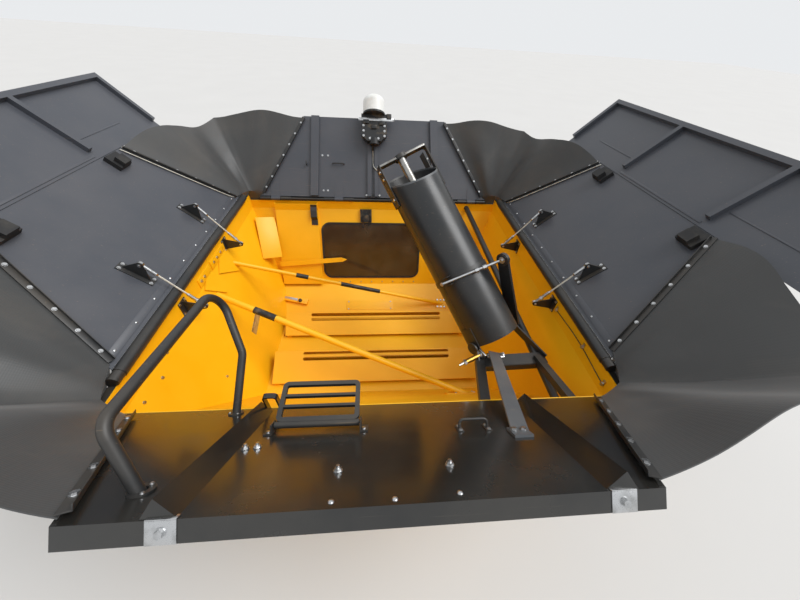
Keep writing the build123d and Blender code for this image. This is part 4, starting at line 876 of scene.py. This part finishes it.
class TANK_OT_auger_details(bpy.types.Operator):
    """Makes the auger's mouth rim, worn and with a painted highlight, its seam and bolts, the link rod's
    nuts and the stand's stop screw
    """

    bl_idname = "tank.auger_details"
    bl_label = "Auger details"

    def execute(self, context):
        # grey band round the mouth's outer edge: partly worn paint, partly a painted highlight where light
        # catches the edge
        mouth = bmesh.new()
        skin = TUBE_R + 0.0008
        end = on_auger(TUBE_LENGTH)
        bmesh.ops.create_cone(
            mouth, cap_ends=False, segments=72, radius1=skin, radius2=skin, depth=0.9,
            matrix=placed(end, AUGER_ALONG, AUGER_SIDE))
        for offset, way in ((0.0010, 1), (-0.0110, -1)):
            bmesh.ops.bisect_plane(
                mouth, geom=mouth.verts[:] + mouth.edges[:] + mouth.faces[:],
                plane_co=end + MOUTH_NORMAL * offset, plane_no=MOUTH_NORMAL * way, clear_outer=True)
        bmesh.ops.recalc_face_normals(mouth, faces=mouth.faces)
        bmesh.ops.solidify(mouth, geom=mouth.faces[:], thickness=0.0065)
        piece("mouth_rim", mouth, "grey_coat", "auger")
        seam = bmesh.new()
        around = AUGER_SIDE * math.cos(SEAM_ANGLE) + AUGER_UP * math.sin(SEAM_ANGLE)
        for i in range(SEAM_BEADS):
            at = on_auger(0.160 + i * BEAD_PITCH) + around * TUBE_R
            add_block(seam, at, around, (0.0195, 0.006, 0.0035), AUGER_ALONG)
        piece("tube_seam", seam, "satin_black_coat", "auger")
        bar = bmesh.new()
        add_block(bar, on_auger(BOW_AT - 0.0015), AUGER_ALONG, (0.400, 0.060, 0.003), BOW)
        add_block(bar, on_auger(BOW_AT - 0.009) + BOW_FLAT * 0.0305, BOW_FLAT, (0.400, 0.013, 0.003), BOW)
        add_disc(bar, placed(on_auger(BOW_AT), AUGER_ALONG), 0.044, 0.009, 24)
        piece("bow_bar_face", bar, "worn_screw_steel", "auger")
        metal, flange = bmesh.new(), bmesh.new()
        for angle, bolts in FLANGES:
            facing = AUGER_SIDE * math.cos(angle) + AUGER_UP * math.sin(angle)
            middle = on_auger(1.350) + facing * 0.2055
            add_block(flange, middle, facing, (0.340, 0.056, 0.008), AUGER_ALONG, 0.002)
            for along in bolts:
                add_bolt(metal, on_auger(along) + facing * 0.2095, facing, 0.012)
        piece("mouth_flanges", flange, "black_chassis_coat", "auger")
        for way in (1, -1):
            add_bolt(metal, on_auger(BOW_AT) + BOW * way * 0.072, AUGER_ALONG, 0.010)
        for facing in (-AUGER_SIDE, AUGER_SIDE):
            add_disc(metal, placed(LEVER_HEAD + facing * 0.013, facing), 0.024, 0.006, 24)
            add_bolt(metal, LEVER_HEAD + facing * 0.019, facing, 0.015)
        run = (LEVER_HEAD - ROD_LOW).normalized()
        for share in (0.56, 0.69):
            at = ROD_LOW.lerp(LEVER_HEAD, share)
            add_rod(metal, at - run * 0.013, at + run * 0.013, 0.017, 6)
        out = (ROD_LOW - on_auger(0.525)).normalized()
        add_bolt(metal, ROD_LOW + out * 0.014, out, 0.013)
        piece("auger_bolts", metal, "zinc_plate", "auger")
        ears = bmesh.new()
        for along in (0.497, 0.553):
            add_block(ears, on_auger(along) + out * 0.226, AUGER_ALONG, (0.052, 0.060, 0.006), out, 0.002)
        piece("strap_ears", ears, "black_chassis_coat", "auger")
        fixed = bmesh.new()
        add_rod(fixed, (0.560, -0.885, STOP_Z), (0.752, -0.790, STOP_Z), 0.010, 12)
        for x, y in ((0.598, -0.866), (0.722, -0.805)):
            add_rod(fixed, (x, y, STOP_Z), (x + 0.016, y + 0.008, STOP_Z), 0.021, 6)
        pad = (0.748, -0.795, STOP_Z - 0.004)
        add_block(fixed, pad, (0, 0, 1), (0.014, 0.064, 0.060), (1, 0.5, 0), 0.003)
        add_block(fixed, (0.850, -0.800, STOP_Z - 0.014), (0, 0, 1), (0.130, 0.040, 0.020), edge=0.004)
        for x in (0.800, 0.850, 0.900):
            add_bolt(fixed, (x, -0.800, STOP_Z - 0.004), (0, 0, 1), 0.015, 0.010)
        piece("stop_screw", fixed, "zinc_plate", "tank")
        barrel = bmesh.new()
        add_rod(barrel, (0.614, -0.858, STOP_Z), (0.722, -0.805, STOP_Z), 0.018, 20)
        piece("stop_screw_barrel", barrel, "brass_barrel", "tank")
        return {"FINISHED"}


def brace_meets(brace, on_wall, normal):
    """Where a brace meets a wall, and its direction there along the wall."""
    start, end = brace
    run = end - start
    at = start + run * ((on_wall - start).dot(normal) / run.dot(normal))
    return at, (run - normal * run.dot(normal)).normalized()


# dark sleeves on the braces: radius, and start and end of each as shares of the brace
SLEEVES = ((FRONT_BRACE, 0.023, ((0.255, 0.305), (0.45, 0.64))), (REAR_BRACE, 0.030, ((0.155, 0.235),)))
# on the left wall: y and reach of the braces' plates, y of their bolts, y and depth of the other bolts
BRACE_PLATES = ((0.230, 0.300), (-0.050, 0.220))
PLATE_BOLTS = (0.135, 0.205, 0.284, -0.120, -0.061)
WALL_BOLTS = ((-0.757, 0.175), (-0.910, 0.235), (-1.090, 0.215), (-0.610, 0.700))
# on the right wall: y and depth of the clipped cable
WALL_CABLE = ((-0.489, 0.086), (-0.684, 0.066), (-0.869, 0.063), (-1.012, 0.078), (-1.139, 0.087))
BEND_BOLTS, BEND_PITCH = 9, 0.135       # along the front wall's lower bend


class TANK_OT_inside_details(bpy.types.Operator):
    """Makes the small sheet pieces, sleeves and bolts inside the tank"""

    bl_idname = "tank.inside_details"
    bl_label = "Inside details"

    def execute(self, context):
        bolts, yellow, dark = bmesh.new(), bmesh.new(), bmesh.new()
        ledge_normal = (on_ledge(0, 0.7, 1) - on_ledge(0, 0.7)).normalized()
        slope_normal = (on_front_wall(0, 0.5, 1) - on_front_wall(0, 0.5)).normalized()
        rear_normal = Vector((0, REAR_LEAN[1], REAR_LEAN[0])).normalized()
        # bolts of the braces' pads: rows along, reach of a row and of a pair
        for brace, on_wall, normal, rows, reach, pair in (
                (FRONT_BRACE, on_ledge(0, 0.7), ledge_normal, (-1, 0, 1), 0.0433, 0.046),
                (REAR_BRACE, Vector((0, -HALF_Y, TOP - BAND)), rear_normal, (-1, 1), 0.0825, 0.028)):
            at, along = brace_meets(brace, on_wall, normal)
            for row in rows:
                for way in (1, -1):
                    place = at + along * row * reach + normal.cross(along) * pair * way + normal * 0.008
                    add_bolt(bolts, place, normal, 0.010)
        for brace, radius, shares in SLEEVES:
            for low, high in shares:
                add_rod(dark, brace[0].lerp(brace[1], low), brace[0].lerp(brace[1], high), radius, 20)
        # plates where the braces start on the left wall
        band = Vector((1, 0, 0))
        slope = (on_left_wall(0, 0.4, 1) - on_left_wall(0, 0.4)).normalized()
        for y, reach in BRACE_PLATES:
            add_block(yellow, on_left_wall(y, 0.092, 0.004), band, (reach, 0.075, 0.008), (0, 1, 0), 0.002)
            foot, tip = on_left_wall(y, 0.120, 0.006), on_left_wall(y + 0.50 * reach, 0.330, 0.006)
            add_blade(yellow, foot, tip, slope, (reach * 0.95, 0.080), 0.010)
        for y in PLATE_BOLTS:
            add_bolt(bolts, on_left_wall(y, 0.092, 0.006), band, 0.013)
        for y, depth in WALL_BOLTS:
            add_bolt(bolts, on_left_wall(y, depth), slope if depth > BAND else band, 0.010)
        # cover over the left front corner
        top = on_left_wall(1.114, 0.203, 0.012)
        low = on_left_wall(0.837, 0.563, 0.012)
        wide = Vector((-1.190, 1.210, TOP - 0.240)) - top
        facing = wide.cross(low - top).normalized()
        if facing.y > 0:
            facing = -facing
        middle = (top + low + wide) / 2 + facing * 0.006
        add_block(yellow, middle, facing, (wide.length, (low - top).length, 0.012), wide, 0.004)
        # pointed blade in front of the duct, on a post
        foot, tip = on_front_wall(-1.148, 0.745, 0.060), on_front_wall(-0.361, 0.689, 0.080)
        point = foot.lerp(tip, 0.93)
        add_blade(yellow, foot, point, slope_normal, (0.060, 0.052), 0.010)
        add_blade(yellow, point, tip, slope_normal, (0.052, 0.006), 0.010)
        add_rod(yellow, on_front_wall(-1.120, 0.743, 0.0), on_front_wall(-1.120, 0.743, 0.060), 0.012, 12)
        # bolt row along the front wall's lower bend, and the plate on the ledge
        for i in range(BEND_BOLTS):
            add_bolt(bolts, on_front_wall(-0.600 + i * BEND_PITCH, 0.972), slope_normal, 0.008)
        add_block(yellow, on_ledge(-0.085, 0.648, 0.002), ledge_normal, (0.580, 0.120, 0.004))
        for x in (-0.345, 0.175):
            for y in (0.605, 0.690):
                add_bolt(bolts, on_ledge(x, y, 0.004), ledge_normal, 0.008)
        # long slot in the left wall, and a bracket with a slot and a knob on the ledge's left
        slots = bmesh.new()
        run = on_left_wall(0.167, 0.763) - on_left_wall(-0.064, 0.805)
        add_block(slots, on_left_wall(0.054, 0.782, 0.001), slope, (0.235, 0.075, 0.002), run)
        add_block(slots, on_ledge(-1.040, 0.723, 0.041), ledge_normal, (0.160, 0.030, 0.002), (1, -0.25, 0))
        piece("inside_slots", slots, "zinc_plate", "tank")
        bracket = on_ledge(-1.000, 0.715, 0.020)
        add_block(yellow, bracket, ledge_normal, (0.320, 0.070, 0.040), (1, -0.25, 0), 0.004)
        add_disc(dark, placed(on_ledge(-0.930, 0.697, 0.040), ledge_normal), 0.022, 0.024, 20, 0.018)
        # clipped cable on the right wall's band
        cable = [Vector((HALF_X - 0.0055, y, TOP - depth)) for y, depth in WALL_CABLE]
        add_wire(dark, cable, 0.003)
        for point in cable[::2]:
            add_bolt(bolts, point, (-1, 0, 0), 0.013)
            clip = point + Vector((0.001, 0, 0.016))
            add_block(bolts, clip, (-1, 0, 0), (0.020, 0.036, 0.004), (0, 1, 0))
        piece("inside_bolts", bolts, "zinc_plate", "tank")
        piece("inside_sheets", yellow, "yellow_powder_coat", "tank")
        piece("inside_sleeves", dark, "black_moulding", "tank")
        return {"FINISHED"}


SUN_FROM = Vector((0.75, -0.15, 1.0))
SUN_SPREAD = math.radians(35)
SEEN_SKY = 0.85         # the world's strength to the camera and in reflections
SKY_COLOUR = (0.96, 0.98, 1.0, 1)
FLOOR_HALF = 60.0
FLOOR_TONES = ((0.57, 0.56, 0.545), (0.61, 0.60, 0.585))
# the photo's own place and direction, solved from the tank's edges
CAMERA_AT = Vector((-0.0174, -2.0536, 3.0165))
LENS = 13.5             # mm, on a 36 mm sensor
CAMERA_TURN = ((0.99656, 0.00753, -0.08254), (-0.06511, 0.68729, -0.72346), (0.05128, 0.72635, 0.68541))


class TANK_OT_stage(bpy.types.Operator):
    """Makes the floor, the light and the camera"""

    bl_idname = "tank.stage"
    bl_label = "Stage"

    def execute(self, context):
        scene = context.scene
        light = scene.tank_light
        tree = new_tree(bpy.data.materials.new("pale_floor"))
        place = add(tree, "TexCoord").outputs
        cloud = add(tree, "TexNoise", {"Vector": place["Object"], "Scale": 0.6, "Detail": 3.0})
        surface(tree, {"Base Color": mixed(tree, cloud, *FLOOR_TONES), "Roughness": 0.8})
        bm = bmesh.new()
        bmesh.ops.create_grid(bm, x_segments=1, y_segments=1, size=FLOOR_HALF)
        floor = piece("floor", bm, "pale_floor")
        scene.world = bpy.data.worlds.new("studio")
        tree = new_tree(scene.world)
        ray = add(tree, "LightPath")
        rays = {0: ray.outputs["Is Camera Ray"], 1: ray.outputs["Is Glossy Ray"]}
        seen = add(tree, "Math", rays, operation="MAXIMUM")
        strength = ranged(tree, seen, target=(light.world, SEEN_SKY))
        sky = add(tree, "Background", {"Color": SKY_COLOUR, "Strength": strength})
        add(tree, "OutputWorld", {"Surface": sky})
        lamp = bpy.data.lights.new("soft_sun", "SUN")
        lamp.energy = light.sun
        lamp.angle = SUN_SPREAD
        obj = bpy.data.objects.new("soft_sun", lamp)
        obj.matrix_world = placed(Vector((0, 0, 8)), SUN_FROM)
        scene.collection.objects.link(obj)
        camera = bpy.data.cameras.new("camera")
        camera.lens = LENS
        camera.sensor_width = 36
        camera.clip_end = 200
        obj = bpy.data.objects.new("camera", camera)
        obj.matrix_world = Matrix.Translation(CAMERA_AT) @ Matrix(CAMERA_TURN).to_4x4()
        scene.collection.objects.link(obj)
        scene.camera = obj
        scene.view_settings.view_transform = "Standard"
        return {"FINISHED"}


STEPS = (TANK_OT_finishes, TANK_OT_gussets, TANK_OT_clamps, TANK_OT_flap_details, TANK_OT_stays,
         TANK_OT_rear_details, TANK_OT_sensor, TANK_OT_auger_details, TANK_OT_inside_details, TANK_OT_stage)


class TANK_PT_dressing(bpy.types.Panel):
    """Lists the sizes, the colours and the steps"""

    bl_idname = "TANK_PT_dressing"
    bl_label = "Grain tank"
    bl_space_type = "VIEW_3D"
    bl_region_type = "UI"
    bl_category = "Grain tank"

    def draw(self, context):
        scene = context.scene
        for group in (scene.tank_colours, scene.tank_fasteners, scene.tank_soft, scene.tank_light):
            box = self.layout.box()
            for key in group.__annotations__:
                box.prop(group, key)
        for step in STEPS:
            self.layout.operator(step.bl_idname)


GROUPS = (("tank_colours", TankColours), ("tank_fasteners", FastenerSizes), ("tank_soft", SoftSizes),
          ("tank_light", StageLight))


def register():
    for name, group in GROUPS:
        bpy.utils.register_class(group)
        setattr(bpy.types.Scene, name, bpy.props.PointerProperty(type=group))
    for step in STEPS:
        bpy.utils.register_class(step)
    bpy.utils.register_class(TANK_PT_dressing)


def unregister():
    bpy.utils.unregister_class(TANK_PT_dressing)
    for step in reversed(STEPS):
        bpy.utils.unregister_class(step)
    for name, group in reversed(GROUPS):
        delattr(bpy.types.Scene, name)
        bpy.utils.unregister_class(group)


def main():
    """Runs every step in order."""
    register()
    for step in STEPS:
        group, name = step.bl_idname.split(".")
        getattr(getattr(bpy.ops, group), name)()


if __name__ == "__main__":
    main()
